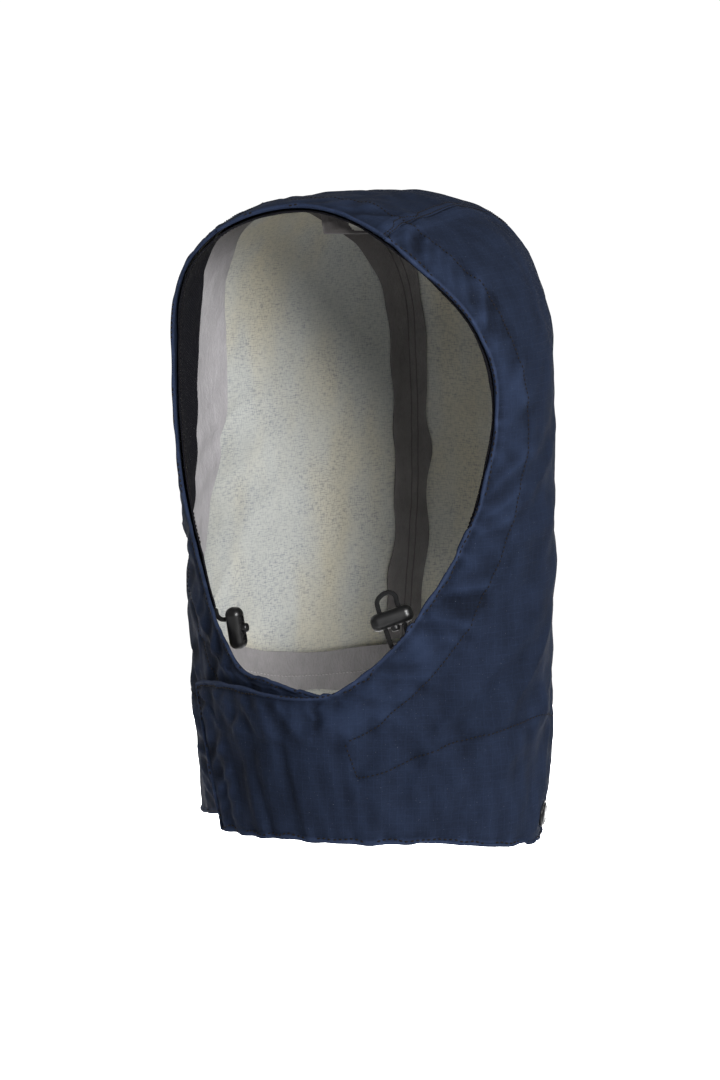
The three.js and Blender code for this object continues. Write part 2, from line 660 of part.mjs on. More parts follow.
function lockBody() {
  const outline = new THREE.Shape();
  const radius = LOCK_WIDTH / 2;
  const straight = LOCK_LENGTH / 2 - radius;
  outline.absarc(straight, 0, radius, -Math.PI / 2, Math.PI / 2, false);
  outline.absarc(-straight, 0, radius, Math.PI / 2, 1.5 * Math.PI, false);
  const flat = LOCK_DEPTH - 2 * LOCK_BEVEL;
  const body = new THREE.ExtrudeGeometry(outline, {
    depth: flat,
    bevelThickness: LOCK_BEVEL,
    bevelSize: LOCK_BEVEL,
    bevelOffset: -LOCK_BEVEL,
    bevelSegments: 2,
    curveSegments: 5,
  });
  body.translate(0, 0, -flat / 2);
  const hole = CORD_DIAMETER + 2 * FIT_CLEARANCE;
  let solid = toSolid(body);
  for (const side of [-1, 1]) {
    solid = solid.subtract(toSolid(cylinderAlongZ(hole, -LOCK_DEPTH, LOCK_DEPTH, side * LOCK_HOLE_SPACING / 2)));
  }
  const pocket = BUTTON_DIAMETER + 2 * FIT_CLEARANCE;
  solid = solid.subtract(toSolid(cylinderAlongZ(pocket, -LOCK_DEPTH, POCKET_DEPTH - LOCK_DEPTH / 2, 0)));
  return toGeometry(solid);
}

// The button stands out of the side where the cord comes in, and can be pushed in by its travel
function lockButton() {
  const radius = BUTTON_DIAMETER / 2;
  const face = -LOCK_DEPTH / 2 - BUTTON_PROUD;
  const inner = POCKET_DEPTH - LOCK_DEPTH / 2 - FIT_CLEARANCE - BUTTON_TRAVEL;
  const profile = [
    new THREE.Vector2(0, face),
    new THREE.Vector2(radius * 0.6, face + BUTTON_ROUND * 0.15),
    new THREE.Vector2(radius * 0.9, face + BUTTON_ROUND * 0.55),
    new THREE.Vector2(radius, face + BUTTON_ROUND),
    new THREE.Vector2(radius, inner),
    new THREE.Vector2(0, inner),
  ];
  return new THREE.LatheGeometry(profile, ROUND_SIDES).rotateX(Math.PI / 2);
}

function cordLock(name, lock) {
  const frame = lockFrame(lock);
  add(`${name}_cord_lock`, lockBody(), 'plastic', frame);
  add(`${name}_lock_button`, lockButton(), 'plastic', frame);
}

// Press stud: domed cap outside, shank through the wall, flat socket inside
function pressStud(name) {
  const cap = STUD_DIAMETER / 2;
  const shank = STUD_SHANK_DIAMETER / 2;
  const socket = STUD_SOCKET_DIAMETER / 2;
  const inner = -WALL - STUD_SOCKET_GAP;
  const profile = [
    new THREE.Vector2(0, inner - STUD_SOCKET_HEIGHT),
    new THREE.Vector2(socket, inner - STUD_SOCKET_HEIGHT),
    new THREE.Vector2(socket, inner),
    new THREE.Vector2(shank, inner),
    new THREE.Vector2(shank, STUD_SEAT_GAP),
    new THREE.Vector2(cap, STUD_SEAT_GAP),
    new THREE.Vector2(cap, STUD_SEAT_GAP + STUD_CAP_HEIGHT * 0.45),
    new THREE.Vector2(cap * 0.88, STUD_SEAT_GAP + STUD_CAP_HEIGHT * 0.8),
    new THREE.Vector2(cap * 0.55, STUD_SEAT_GAP + STUD_CAP_HEIGHT),
    new THREE.Vector2(0, STUD_SEAT_GAP + STUD_CAP_HEIGHT),
  ];
  add(`${name}_press_stud`, new THREE.LatheGeometry(profile, ROUND_SIDES), 'stud', studFrame(name));
}

centrePanel();
leftPanel();
rightPanel();
facingAndFaceTape();
neckTape();
cordTube('left_drawcord', LEFT_CORD_ROUTE);
cordTube('right_drawcord', RIGHT_CORD_ROUTE);
cordLock('left', LEFT_LOCK);
cordLock('right', RIGHT_LOCK);
for (const name of ['left', 'right']) {
  seamTape(name);
  pressStud(name);
}

export default hood;
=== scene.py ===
import math

import bmesh
import bpy
import numpy as np
from mathutils import Matrix, Vector, noise
from mathutils.bvhtree import BVHTree
from mathutils.kdtree import KDTree


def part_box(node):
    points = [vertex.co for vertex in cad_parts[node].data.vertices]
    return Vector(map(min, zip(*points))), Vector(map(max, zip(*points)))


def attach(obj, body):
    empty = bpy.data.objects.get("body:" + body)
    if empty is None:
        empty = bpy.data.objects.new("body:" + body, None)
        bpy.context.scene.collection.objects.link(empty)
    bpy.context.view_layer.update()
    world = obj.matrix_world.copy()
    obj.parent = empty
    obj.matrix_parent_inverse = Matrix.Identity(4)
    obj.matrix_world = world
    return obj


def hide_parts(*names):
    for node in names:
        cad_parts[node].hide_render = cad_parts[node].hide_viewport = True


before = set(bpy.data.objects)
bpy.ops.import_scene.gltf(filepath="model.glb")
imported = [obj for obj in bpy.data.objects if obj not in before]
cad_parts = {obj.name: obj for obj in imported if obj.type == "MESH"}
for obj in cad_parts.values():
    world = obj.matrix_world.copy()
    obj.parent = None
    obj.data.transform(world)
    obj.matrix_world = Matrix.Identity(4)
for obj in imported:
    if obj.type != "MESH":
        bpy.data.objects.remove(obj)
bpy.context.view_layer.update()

MM = 0.001

# The photograph's view: where the camera looks, from which side, how far off and through which lens
LOOKS_AT = Vector((0, -0.010, -0.187))
VIEW_TURN = math.radians(30)
VIEW_RISE = math.radians(11)
VIEW_DISTANCE = 1.5
LENS_MM = 85
SENSOR_MM = 36
FRAME_TALL = 1080
TARGET_ABOVE_MIDDLE = 25

# The hood's own sizes
CLOTH = 1.6 * MM
WIDEST_Z = (1.6 - 113.7) * MM
HEAD_RADIUS = 113 * MM
SPINE_Y = 20 * MM
FINE_BEFORE_Y = 33 * MM
SEAM_REFINED = 12 * MM
UNDERLAP_REACH = 42 * MM
UNDERLAP_DROP = 6 * MM

# The loose fold of tape inside the brow, in millimetres
FOLD_TOP = ((4, -60, -7), (36, -60, -10))
FOLD_BOTTOM = ((6, -60, -18), (37, -60, -16.5))
FOLD_GAP = ((20.5, -9.8), (33.3, -15.6), (24.5, -15.2))
FOLD_BULGE = 1.6 * MM
FOLD_EDGE = 0.45 * MM
TAPE_THICK = 0.5 * MM

# Stitching
SEAM_RIDGE = 0.35 * MM
SEAM_RIDGE_OFFSETS = (-0.6 * MM, 3.6 * MM)
SEAM_RIDGE_FROM = 14
SEAM_RIDGE_TO = 12
NECK_ROW_BEHIND_Y = -20 * MM
STITCH_LONG = 1.9 * MM
STITCH_GAP = 0.7 * MM
STITCH_THICK = 0.36 * MM
EDGE_STITCH = 3.0 * MM
HEM_STITCH = 2.4 * MM
FACE_TURNED_IN = 8 * MM
HEM_TURNED_IN = 11 * MM
SEAM_STITCHES = (1.6 * MM, 6.0 * MM)
SIDE_SEAM_GROOVES = (3.0 * MM, 7.5 * MM)
ROLL_RADIUS = 1.05 * MM

# Tunnel stitching on the wearer's left, in millimetres: out to the side, forward and down
TUNNEL_STITCH = [
    {"out": 35.5, "fore": 50.4, "down": 4.0},
    {"out": 53.1, "fore": 51.4, "down": 9.9},
    {"out": 69.2, "fore": 49.7, "down": 18.7},
    {"out": 85.0, "fore": 46.6, "down": 32.4},
    {"out": 98.5, "fore": 37.7, "down": 50.1},
    {"out": 104.7, "fore": 32.5, "down": 65.2},
    {"out": 109.4, "fore": 25.4, "down": 84.5},
    {"out": 111.4, "fore": 20.2, "down": 108.0},
    {"out": 111.3, "fore": 18.0, "down": 130.9},
    {"out": 109.5, "fore": 23.7, "down": 155.8},
    {"out": 103.4, "fore": 34.2, "down": 195.2},
    {"out": 93.9, "fore": 48.2, "down": 231.4},
    {"out": 83.3, "fore": 58.9, "down": 254.1},
    {"out": 71.3, "fore": 68.3, "down": 272.1},
    {"out": 58.9, "fore": 77.1, "down": 283.9},
    {"out": 52.8, "fore": 81.3, "down": 291.8},
    {"out": 37.6, "fore": 88.7, "down": 300.4},
]

# Neck stitching by turn from the front in degrees, and how far down in millimetres
NECK_STITCH = [
    {"turn": 26, "down": 322.5},
    {"turn": 35, "down": 318.5},
    {"turn": 46, "down": 311.0},
    {"turn": 58, "down": 303.4},
    {"turn": 70, "down": 299.0},
    {"turn": 83, "down": 296.4},
    {"turn": 96, "down": 297.0},
    {"turn": 115, "down": 309.0},
    {"turn": 140, "down": 314.0},
    {"turn": 180, "down": 318.0},
]
TUNNEL_END = [{"turn": 22, "down": 302.0}, {"turn": 26, "down": 322.5}]
RIGHT_NECK_FROM = 50

# Cord routes, in millimetres, along the tunnel ends, the locks and the loop
CORD_THICK = 2.8
LEFT_CORD_ROUTE = [
    (60.2, -68.3, -252.8), (57.9, -67.2, -252.2), (55.5, -66.6, -250.5), (53.4, -66.5, -248),
    (51.96, -66.5, -245), (50.45, -66.54, -241.3), (47.43, -66.62, -233.9), (44.41, -66.7, -226.49),
    (43.7, -66.4, -223.3), (45, -65.2, -220.2), (47.6, -63.8, -218.2), (50.4, -62.4, -217.9),
    (52.7, -61.6, -219.6), (53.55, -61.46, -222.7), (56.57, -61.38, -230.1), (59.59, -61.3, -237.51),
    (61.1, -61.2, -241), (63.3, -61.2, -243.4), (66, -62.4, -244.2), (68.4, -64.3, -243.6),
]
RIGHT_CORD_ROUTE = [
    (-48.25, -68.5, -243.29), (-50.21, -68.8, -243.56), (-55.11, -69.54, -244.24), (-58.05, -69.98, -244.65),
    (-61, -69.6, -243.8), (-63.3, -68.3, -242), (-65, -66.3, -240.8), (-66.9, -63.9, -242.6),
    (-69.9, -60.9, -246.6), (-73.2, -57, -250.8),
]

# Cord locks, in millimetres: centre, the way of the long side and the way that the cord leaves
LOCKS = {
    "left": {"centre": (52, -64, -232), "long": (0.82, 0.47, 0.34), "cord": (-0.385, -0.015, 0.92)},
    "right": {"centre": (-49.5, -68.4, -249.1), "long": (-0.126, -0.07, 0.98), "cord": (-0.98, -0.15, -0.1)},
}
LOCK_LONG = 25 * MM
LOCK_WIDE = 10 * MM
LOCK_DEEP = 10 * MM
LOCK_HOLE_SPACING = 11.2 * MM
BUTTON_WIDE = 5.6 * MM
BUTTON_PROUD = 2.6 * MM
BUTTON_TRAVEL = 2.2 * MM
POCKET_DEEP = 6 * MM
FIT = 0.3 * MM
STRIP_SWAY = 3.4 * MM
FACE_SPREAD = 0.14
FACING_ROW = 9 * MM
FACING_ROW_ABOVE_Z = -205 * MM
LINE_STEP = 0.6 * MM
DEEPEST_CREASE = 1.1
STUD_WIDE = 15.5 * MM
STUD_CAP = 2.6 * MM
STUD_SEAT = 0.7 * MM
STUD_SHANK = 5 * MM
SOCKET_WIDE = 12.6 * MM
SOCKET_HIGH = 1.6 * MM
SOCKET_GAP = 0.9 * MM


# Shader maths
class Value:
    """A socket that can be calculated with."""

    def __init__(self, finish, socket):
        self.finish = finish
        self.socket = socket

    def _math(self, operation, other, swapped=False):
        pair = (other, self) if swapped else (self, other)
        return self.finish.node("ShaderNodeMath", {"operation": operation}, *pair)

    def __add__(self, other):
        return self._math("ADD", other)

    def __radd__(self, other):
        return self._math("ADD", other, True)

    def __sub__(self, other):
        return self._math("SUBTRACT", other)

    def __rsub__(self, other):
        return self._math("SUBTRACT", other, True)

    def __mul__(self, other):
        return self._math("MULTIPLY", other)

    def __rmul__(self, other):
        return self._math("MULTIPLY", other, True)

    def __truediv__(self, other):
        return self._math("DIVIDE", other)

    def __pow__(self, other):
        return self._math("POWER", other)


class Finish:
    """One material, with its shader and its node maker."""

    def __init__(self, name, **shader):
        self.material = bpy.data.materials.new(name)
        self.material.use_nodes = True
        self.tree = self.material.node_tree
        self.shader = self.tree.nodes["Principled BSDF"]
        for socket, value in shader.items():
            self.shader.inputs[socket.replace("_", " ")].default_value = value

    def node(self, kind, settings=None, *inputs, out=0, **named):
        made = self.tree.nodes.new(kind)
        for setting, value in (settings or {}).items():
            setattr(made, setting, value)
        for place, value in [*enumerate(inputs), *named.items()]:
            socket = made.inputs[place.replace("_", " ") if isinstance(place, str) else place]
            if isinstance(value, Value):
                self.tree.links.new(value.socket, socket)
            else:
                socket.default_value = value
        return Value(self, made.outputs[out])

    def feed(self, **sockets):
        for socket, value in sockets.items():
            self.tree.links.new(value.socket, self.shader.inputs[socket.replace("_", " ")])

    def place(self):
        return self.node("ShaderNodeTexCoord", out="Object")

    def weave_place(self):
        return self.node("ShaderNodeUVMap", {"uv_map": "weave"})

    def attribute(self, name):
        return self.node("ShaderNodeAttribute", {"attribute_name": name}, out="Fac")

    def stretched(self, place, x=1.0, y=1.0, z=1.0, turn=0.0):
        return self.node("ShaderNodeMapping", None, place, Scale=(x, y, z), Rotation=(0, 0, turn))

    def speckle(self, place, scale, detail=2.0, roughness=0.5):
        made = self.node("ShaderNodeTexNoise", None, Vector=place, Scale=scale, Detail=detail, Roughness=roughness)
        return made

    def parts(self, place):
        split = self.node("ShaderNodeSeparateXYZ", None, place)
        made = split.socket.node
        return Value(self, made.outputs[0]), Value(self, made.outputs[1]), Value(self, made.outputs[2])

    def wave(self, value, length, phase=0.0):
        return self.node("ShaderNodeMath", {"operation": "SINE"}, value * (2 * math.pi / length) + phase)

    def step(self, value, low, high):
        return self.node(
            "ShaderNodeMapRange", {"interpolation_type": "SMOOTHSTEP"}, value, From_Min=low, From_Max=high
        )

    def between(self, factor, first, second):
        settings = {"data_type": "RGBA"}
        made = self.tree.nodes.new("ShaderNodeMix")
        for setting, value in settings.items():
            setattr(made, setting, value)
        for place, value in ((0, factor), (6, first), (7, second)):
            if isinstance(value, Value):
                self.tree.links.new(value.socket, made.inputs[place])
            else:
                made.inputs[place].default_value = value
        return Value(self, made.outputs[2])

    def bump(self, height, distance, strength=1.0):
        return self.node("ShaderNodeBump", None, Strength=strength, Distance=distance, Height=height)


def rgb(red, green, blue):
    """A linear colour from the eight-bit values that a paint chart gives."""
    linear = [((c / 255 + 0.055) / 1.055) ** 2.4 if c > 10 else c / 255 / 12.92 for c in (red, green, blue)]
    return (*linear, 1.0)


def thread_lines(finish, value, pitch, width):
    """One on the thick threads of a grid, nought between them."""
    swing = finish.wave(value, pitch)
    edge = math.cos(math.pi * width / pitch)
    return finish.step(swing, edge, 1.0)


def outside_finish():
    """Navy ripstop: a fine plain weave with a square grid of thicker threads, with a painted highlight along the
    folded edges and on the crease crests, and painted shade in the crease hollows.
    """
    finish = Finish("navy_ripstop", Roughness=0.85, Specular_IOR_Level=0.09)
    place = finish.place()
    weave = finish.weave_place()
    across, along, _ = finish.parts(weave)
    pitch = 4.6 * MM
    grid = finish.node(
        "ShaderNodeMath", {"operation": "MAXIMUM"},
        thread_lines(finish, across, pitch, 0.75 * MM), thread_lines(finish, along, pitch, 0.75 * MM),
    )
    warp = finish.speckle(finish.stretched(weave, 1, 0.05, 1), 2600, 2)
    weft = finish.speckle(finish.stretched(weave, 0.05, 1, 1), 2600, 2)
    slubs = warp * 0.5 + weft * 0.5
    cloud = finish.speckle(place, 22, 4, 0.6)
    fuzz = finish.speckle(place, 900, 3, 0.7)
    # The crease height relief lightens the crests and darkens the hollows: painted highlight and painted shade.
    tone = cloud * 0.45 + slubs * 0.9 + fuzz * 0.35 + grid * 0.1 + finish.attribute("relief") * 0.3 - 0.42
    cloth = finish.between(tone, rgb(12, 17, 28), rgb(35, 45, 66))
    # Pale blue along the folded edges and in patches beside them: painted highlight of the rolled edges and pucker
    # crests.
    painted_edge_highlight = finish.attribute("painted_edge_highlight") * (0.35 + fuzz * 0.8)
    lint = finish.step(finish.speckle(place, 1500, 1), 0.77, 0.80)
    coloured = finish.between(painted_edge_highlight, cloth, rgb(46, 57, 82))
    coloured = finish.between(lint * 0.25, coloured, rgb(150, 155, 165))
    threads = finish.wave(across, 0.62 * MM) * finish.wave(along, 0.62 * MM)
    height = threads * 0.3 + grid * 0.7 + slubs * 0.9 + fuzz * 0.4
    finish.feed(Base_Color=coloured, Roughness=0.74 + slubs * 0.2, Normal=finish.bump(height, 0.12 * MM, 0.7))
    return finish.material


def inside_finish():
    """Pale membrane backing with the navy weave showing through as short dashes."""
    finish = Finish("membrane_backing", Roughness=0.62, Specular_IOR_Level=0.2)
    place = finish.place()
    weave = finish.weave_place()
    across, along, _ = finish.parts(weave)
    warp = finish.step(finish.speckle(finish.stretched(weave, 1, 0.18, 1), 1500, 1, 0.5), 0.5, 0.62)
    weft = finish.step(finish.speckle(finish.stretched(weave, 0.15, 1, 1), 1500, 1, 0.5), 0.5, 0.62)
    patchy = finish.step(finish.speckle(place, 45, 3, 0.6), 0.36, 0.66)
    dashes = (warp * 0.26 + weft * 0.32) * (0.6 + patchy * 0.4)
    tint = finish.speckle(finish.stretched(place, 1, 1, 0.35), 14, 3, 0.55)
    pale = finish.between(finish.step(tint, 0.42, 0.68), rgb(176, 178, 174), rgb(186, 180, 160))
    coloured = finish.between(dashes, pale, rgb(74, 82, 104))
    turned_in = finish.step(finish.attribute("turned_in"), 0.1 * MM, 0.6 * MM)
    coloured = finish.between(turned_in, coloured, rgb(23, 31, 47))
    threads = finish.wave(across, 0.9 * MM) * finish.wave(along, 0.9 * MM)
    height = threads * 0.4 + warp * 0.5 + patchy * 0.5
    finish.feed(Base_Color=coloured, Normal=finish.bump(height, 0.1 * MM, 0.5))
    return finish.material


def facing_finish():
    """Dark twill with steep diagonal ribs."""
    finish = Finish("dark_twill", Roughness=0.82, Specular_IOR_Level=0.12)
    place = finish.place()
    _, fore, up = finish.parts(place)
    ribs = finish.wave(up + fore * 0.55, 1.5 * MM)
    fuzz = finish.speckle(place, 1100, 3, 0.6)
    cloud = finish.speckle(place, 50, 3, 0.5)
    tone = ribs * 0.16 + fuzz * 0.7 + cloud * 0.4 - 0.1
    coloured = finish.between(tone, rgb(11, 11, 15), rgb(27, 27, 34))
    finish.feed(Base_Color=coloured, Normal=finish.bump(ribs * 0.8 + fuzz, 0.25 * MM, 0.8))
    return finish.material


def tape_finish(name, dark, light):
    """Grey seam tape: a knitted backing under a thin glue layer, darkened towards the top of the hood by painted
    shade.
    """
    finish = Finish(name, Roughness=0.55, Specular_IOR_Level=0.2)
    place = finish.place()
    _, _, up = finish.parts(place)
    fine = finish.speckle(finish.stretched(place, 1, 1, 0.2), 1800, 3, 0.6)
    cloud = finish.speckle(place, 45, 3, 0.55)
    creases = finish.speckle(finish.stretched(place, 1, 1, 0.45), 130, 4, 0.65)
    tone = fine * 0.6 + cloud * 0.5 + creases * 0.6 - 0.35
    coloured = finish.between(tone, dark, light)
    # Darker towards the top of the hood, where the tapes face down away from the light: painted shade.
    shade_near_top = finish.step(up, -0.062, -0.012) * 0.75
    coloured = finish.between(shade_near_top, coloured, rgb(56, 52, 50))
    finish.feed(
        Base_Color=coloured, Roughness=0.45 + cloud * 0.25,
        Normal=finish.bump(creases * 2.2 + fine * 0.4, 0.6 * MM, 0.9),
    )
    return finish.material


def cord_finish():
    """Braided elastic cord."""
    finish = Finish("braided_cord", Roughness=0.6, Specular_IOR_Level=0.3)
    place = finish.place()
    across, fore, up = finish.parts(place)
    braid = finish.wave(up + across, 1.1 * MM) * finish.wave(up - fore, 1.1 * MM)
    fuzz = finish.speckle(place, 1500, 2, 0.6)
    coloured = finish.between(braid * 0.4 + fuzz * 0.6, rgb(7, 7, 8), rgb(34, 34, 36))
    finish.feed(Base_Color=coloured, Normal=finish.bump(braid + fuzz * 0.5, 0.25 * MM, 0.8))
    return finish.material


def plastic_finish():
    """Glossy moulded plastic with handling marks."""
    finish = Finish("glossy_plastic", Roughness=0.22, Specular_IOR_Level=0.55)
    place = finish.place()
    smear = finish.speckle(place, 240, 4, 0.6)
    marks = finish.step(finish.speckle(finish.stretched(place, 1, 0.15, 1, 0.6), 1800, 3, 0.6), 0.62, 0.72)
    coloured = finish.between(smear * 0.5 + marks * 0.3, rgb(9, 9, 10), rgb(28, 28, 29))
    finish.feed(
        Base_Color=coloured, Roughness=0.3 + smear * 0.14 + marks * 0.15,
        Normal=finish.bump(smear * 0.6, 0.08 * MM, 0.5),
    )
    return finish.material


def lacquer_finish():
    """Black lacquer on a pressed metal cap, smeared and pitted."""
    finish = Finish("black_lacquer", Roughness=0.25, Metallic=0.3, Specular_IOR_Level=0.6)
    place = finish.place()
    smear = finish.speckle(place, 300, 4, 0.6)
    pits = finish.step(finish.speckle(place, 1500, 2, 0.6), 0.66, 0.74)
    coloured = finish.between(smear * 0.4 + pits * 0.5, rgb(12, 12, 14), rgb(44, 44, 48))
    finish.feed(Base_Color=coloured, Roughness=0.2 + smear * 0.18 + pits * 0.2)
    return finish.material


def thread_finish():
    """Twisted dark sewing thread, coloured darker still as painted shade of the grooves that the stitches sink into.
    """
    finish = Finish("sewing_thread_painted_shade", Roughness=0.7, Specular_IOR_Level=0.2)
    place = finish.place()
    twist = finish.speckle(place, 2600, 2, 0.6)
    # Near-black: the thread's own dark navy, darkened further as painted shade.
    coloured = finish.between(twist, rgb(5, 5, 7), rgb(26, 22, 24))
    finish.feed(Base_Color=coloured, Normal=finish.bump(twist, 0.1 * MM, 0.6))
    return finish.material


def taped_thread_finish(name, dark, light):
    """Thread ridge that shows through the inside tape."""
    finish = Finish(name, Roughness=0.6, Specular_IOR_Level=0.35)
    twist = finish.speckle(finish.place(), 2600, 2, 0.6)
    finish.feed(Base_Color=finish.between(twist, dark, light))
    return finish.material


def floor_finish():
    finish = Finish("pale_floor", Roughness=0.9, Specular_IOR_Level=0.1)
    cloud = finish.speckle(finish.place(), 3, 2, 0.5)
    finish.feed(Base_Color=finish.between(cloud, rgb(246, 246, 246), rgb(250, 250, 250)))
    return finish.material


NAVY = outside_finish()
MEMBRANE = inside_finish()
TWILL = facing_finish()
# The seam tapes and the neck tape, with the brow's tape fold, are the face tape's grey coloured darker: painted
# shade where they lie away from the light.
SEAM_TAPE_PAINTED_SHADE = tape_finish("seam_tape", rgb(84, 82, 82), rgb(120, 117, 117))
NECK_TAPE_PAINTED_SHADE = tape_finish("neck_seam_tape_painted_shade", rgb(112, 110, 111), rgb(150, 147, 148))
PALE_TAPE = tape_finish("face_seam_tape", rgb(140, 138, 140), rgb(178, 175, 178))
CORD = cord_finish()
PLASTIC = plastic_finish()
LACQUER = lacquer_finish()
THREAD_WITH_PAINTED_SHADE = thread_finish()
# The seam ridges' thread is the neck stitching's pale thread, coloured darker as painted shade to sit in the shaded
# seam tapes.
SEAM_RIDGE_THREAD_PAINTED_SHADE = taped_thread_finish("taped_thread_painted_shade", rgb(60, 58, 58), rgb(90, 88, 88))
NECK_THREAD = taped_thread_finish("neck_taped_thread", rgb(140, 138, 138), rgb(176, 174, 174))


# Camera, light and floor
def outward(turn, rise):
    return Vector((math.sin(turn) * math.cos(rise), -math.cos(turn) * math.cos(rise), math.sin(rise)))


def make_camera():
    data = bpy.data.cameras.new("camera")
    data.lens = LENS_MM
    data.sensor_width = SENSOR_MM
    data.shift_y = -TARGET_ABOVE_MIDDLE / FRAME_TALL
    data.clip_end = 20
    camera = bpy.data.objects.new("camera", data)
    bpy.context.scene.collection.objects.link(camera)
    way = outward(VIEW_TURN, VIEW_RISE)
    camera.location = LOOKS_AT + way * VIEW_DISTANCE
    camera.rotation_mode = "QUATERNION"
    camera.rotation_quaternion = (-way).to_track_quat("-Z", "Y")
    bpy.context.scene.camera = camera


def soft_light(name, turn, rise, distance, size, power):
    data = bpy.data.lights.new(name, "AREA")
    data.shape = "DISK"
    data.size = size
    data.energy = power
    lamp = bpy.data.objects.new(name, data)
    bpy.context.scene.collection.objects.link(lamp)
    way = outward(math.radians(turn), math.radians(rise))
    lamp.location = LOOKS_AT + way * distance
    lamp.rotation_mode = "QUATERNION"
    lamp.rotation_quaternion = (-way).to_track_quat("-Z", "Y")
    return lamp


def make_studio():
    soft_light("key_light", 52, 22, 1.9, 0.75, 46)
    soft_light("side_light", 110, 30, 1.8, 0.4, 9)
    soft_light("top_light", 150, 60, 1.8, 0.7, 2)
    soft_light("far_side_light", -100, 16, 1.8, 0.6, 13)
    bpy.context.scene.view_settings.view_transform = "Standard"
    data = bpy.data.lights.new("backdrop_light", "SPOT")
    data.energy = 1400
    data.spot_size = math.radians(62)
    data.spot_blend = 0.3
    data.shadow_soft_size = 0.3
    lamp = bpy.data.objects.new("backdrop_light", data)
    lamp.location = (-0.95, 1.65, 1.6)
    bpy.context.scene.collection.objects.link(lamp)
    # The room is dim, with a white wall opposite the camera
    world = bpy.data.worlds.new("studio")
    world.use_nodes = True
    nodes, links = world.node_tree.nodes, world.node_tree.links
    place = nodes.new("ShaderNodeTexCoord")
    facing = nodes.new("ShaderNodeVectorMath")
    facing.operation = "DOT_PRODUCT"
    facing.inputs[1].default_value = -outward(VIEW_TURN, VIEW_RISE)
    wall = nodes.new("ShaderNodeMapRange")
    wall.interpolation_type = "SMOOTHSTEP"
    wall.inputs["From Min"].default_value = 0.86
    wall.inputs["From Max"].default_value = 0.955
    wall.inputs["To Min"].default_value = 0.17
    wall.inputs["To Max"].default_value = 1.05
    links.new(place.outputs["Generated"], facing.inputs[0])
    links.new(facing.outputs["Value"], wall.inputs["Value"])
    background = nodes["Background"]
    background.inputs["Color"].default_value = (1, 1, 1, 1)
    links.new(wall.outputs[0], background.inputs["Strength"])
    bpy.context.scene.world = world
    bpy.ops.mesh.primitive_circle_add(vertices=128, radius=2.2, fill_type="NGON", location=(0, 0, -0.9))
    floor = bpy.context.object
    floor.name = "floor"
    floor.data.materials.append(floor_finish())


# Making and finishing of pieces
def deselect_all():
    if bpy.context.mode != "OBJECT":
        bpy.ops.object.mode_set(mode="OBJECT")
    bpy.ops.object.select_all(action="DESELECT")


def take(piece):
    deselect_all()
    piece.select_set(True)
    bpy.context.view_layer.objects.active = piece


def join(name, pieces):
    deselect_all()
    for piece in pieces:
        piece.select_set(True)
    bpy.context.view_layer.objects.active = pieces[0]
    if len(pieces) > 1:
        bpy.ops.object.join()
    pieces[0].name = name
    return pieces[0]


def apply_place(piece):
    take(piece)
    bpy.ops.object.transform_apply(location=True, rotation=True, scale=True)


def apply_modifier(piece, kind, **settings):
    take(piece)
    modifier = piece.modifiers.new(kind.lower(), kind)
    for setting, value in settings.items():
        setattr(modifier, setting, value)
    bpy.ops.object.modifier_apply(modifier=modifier.name)


def copy_of(node, name):
    """A merged copy of a CAD node, as quads."""
    piece = bpy.data.objects.new(name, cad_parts[node].data.copy())
    bpy.context.scene.collection.objects.link(piece)
    piece.data.materials.clear()
    take(piece)
    bpy.ops.object.mode_set(mode="EDIT")
    bpy.ops.mesh.select_all(action="SELECT")
    bpy.ops.mesh.remove_doubles(threshold=0.02 * MM)
    bpy.ops.mesh.customdata_custom_splitnormals_clear()
    bpy.ops.mesh.tris_convert_to_quads(face_threshold=math.radians(50), shape_threshold=math.radians(70))
    bpy.ops.object.mode_set(mode="OBJECT")
    return piece


def shade(piece, material, degrees=None):
    if material:
        piece.data.materials.clear()
        piece.data.materials.append(material)
    take(piece)
    if degrees is None:
        bpy.ops.object.shade_smooth()
    else:
        bpy.ops.object.shade_smooth_by_angle(angle=math.radians(degrees))


def from_spine(point):
    """The way out from the middle of the head to a point of the cloth."""
    middle = Vector((0, SPINE_Y, min(point.z, WIDEST_Z)))
    return (point - middle).normalized()


def keep_outer_layer(piece):
    """Leaves the outer layer of a wall: all that joins its most outward face without a sharp edge."""
    mesh = bmesh.new()
    mesh.from_mesh(piece.data)
    mesh.faces.ensure_lookup_table()
    mesh.normal_update()
    first = max(mesh.faces, key=lambda f: f.normal.dot(from_spine(f.calc_center_median())))
    kept = {first}
    rim = [first]
    while rim:
        face = rim.pop()
        for edge in face.edges:
            for other in edge.link_faces:
                if other not in kept and face.normal.dot(other.normal) > 0.5:
                    kept.add(other)
                    rim.append(other)
    bmesh.ops.delete(mesh, geom=[f for f in mesh.faces if f not in kept], context="FACES")
    mesh.to_mesh(piece.data)
    mesh.free()


def outlines(piece):
    """The ordered boundary loops of a sheet, the longest first."""
    mesh = bmesh.new()
    mesh.from_mesh(piece.data)
    edges = {e for e in mesh.edges if e.is_boundary}
    loops = []
    while edges:
        edge = min(edges, key=lambda e: e.index)
        edges.discard(edge)
        start, at = edge.verts
        loop = [start]
        while at != start:
            loop.append(at)
            following = next((e for e in at.link_edges if e in edges), None)
            if following is None:
                break
            edges.discard(following)
            at = following.other_vert(at)
        loops.append([(v.index, v.co.copy()) for v in loop])
    mesh.free()
    return sorted(loops, key=len, reverse=True)


def corners_of(piece):
    """The four corners of a coarse sheet, where its outline turns most sharply."""
    points = [p for _, p in outlines(piece)[0]]
    count = len(points)
    turns = []
    for i in range(count):
        before = (points[i] - points[i - 1]).normalized()
        after = (points[(i + 1) % count] - points[i]).normalized()
        turns.append((before.angle(after, 0), i))
    return [points[i] for _, i in sorted(turns)[-4:]]


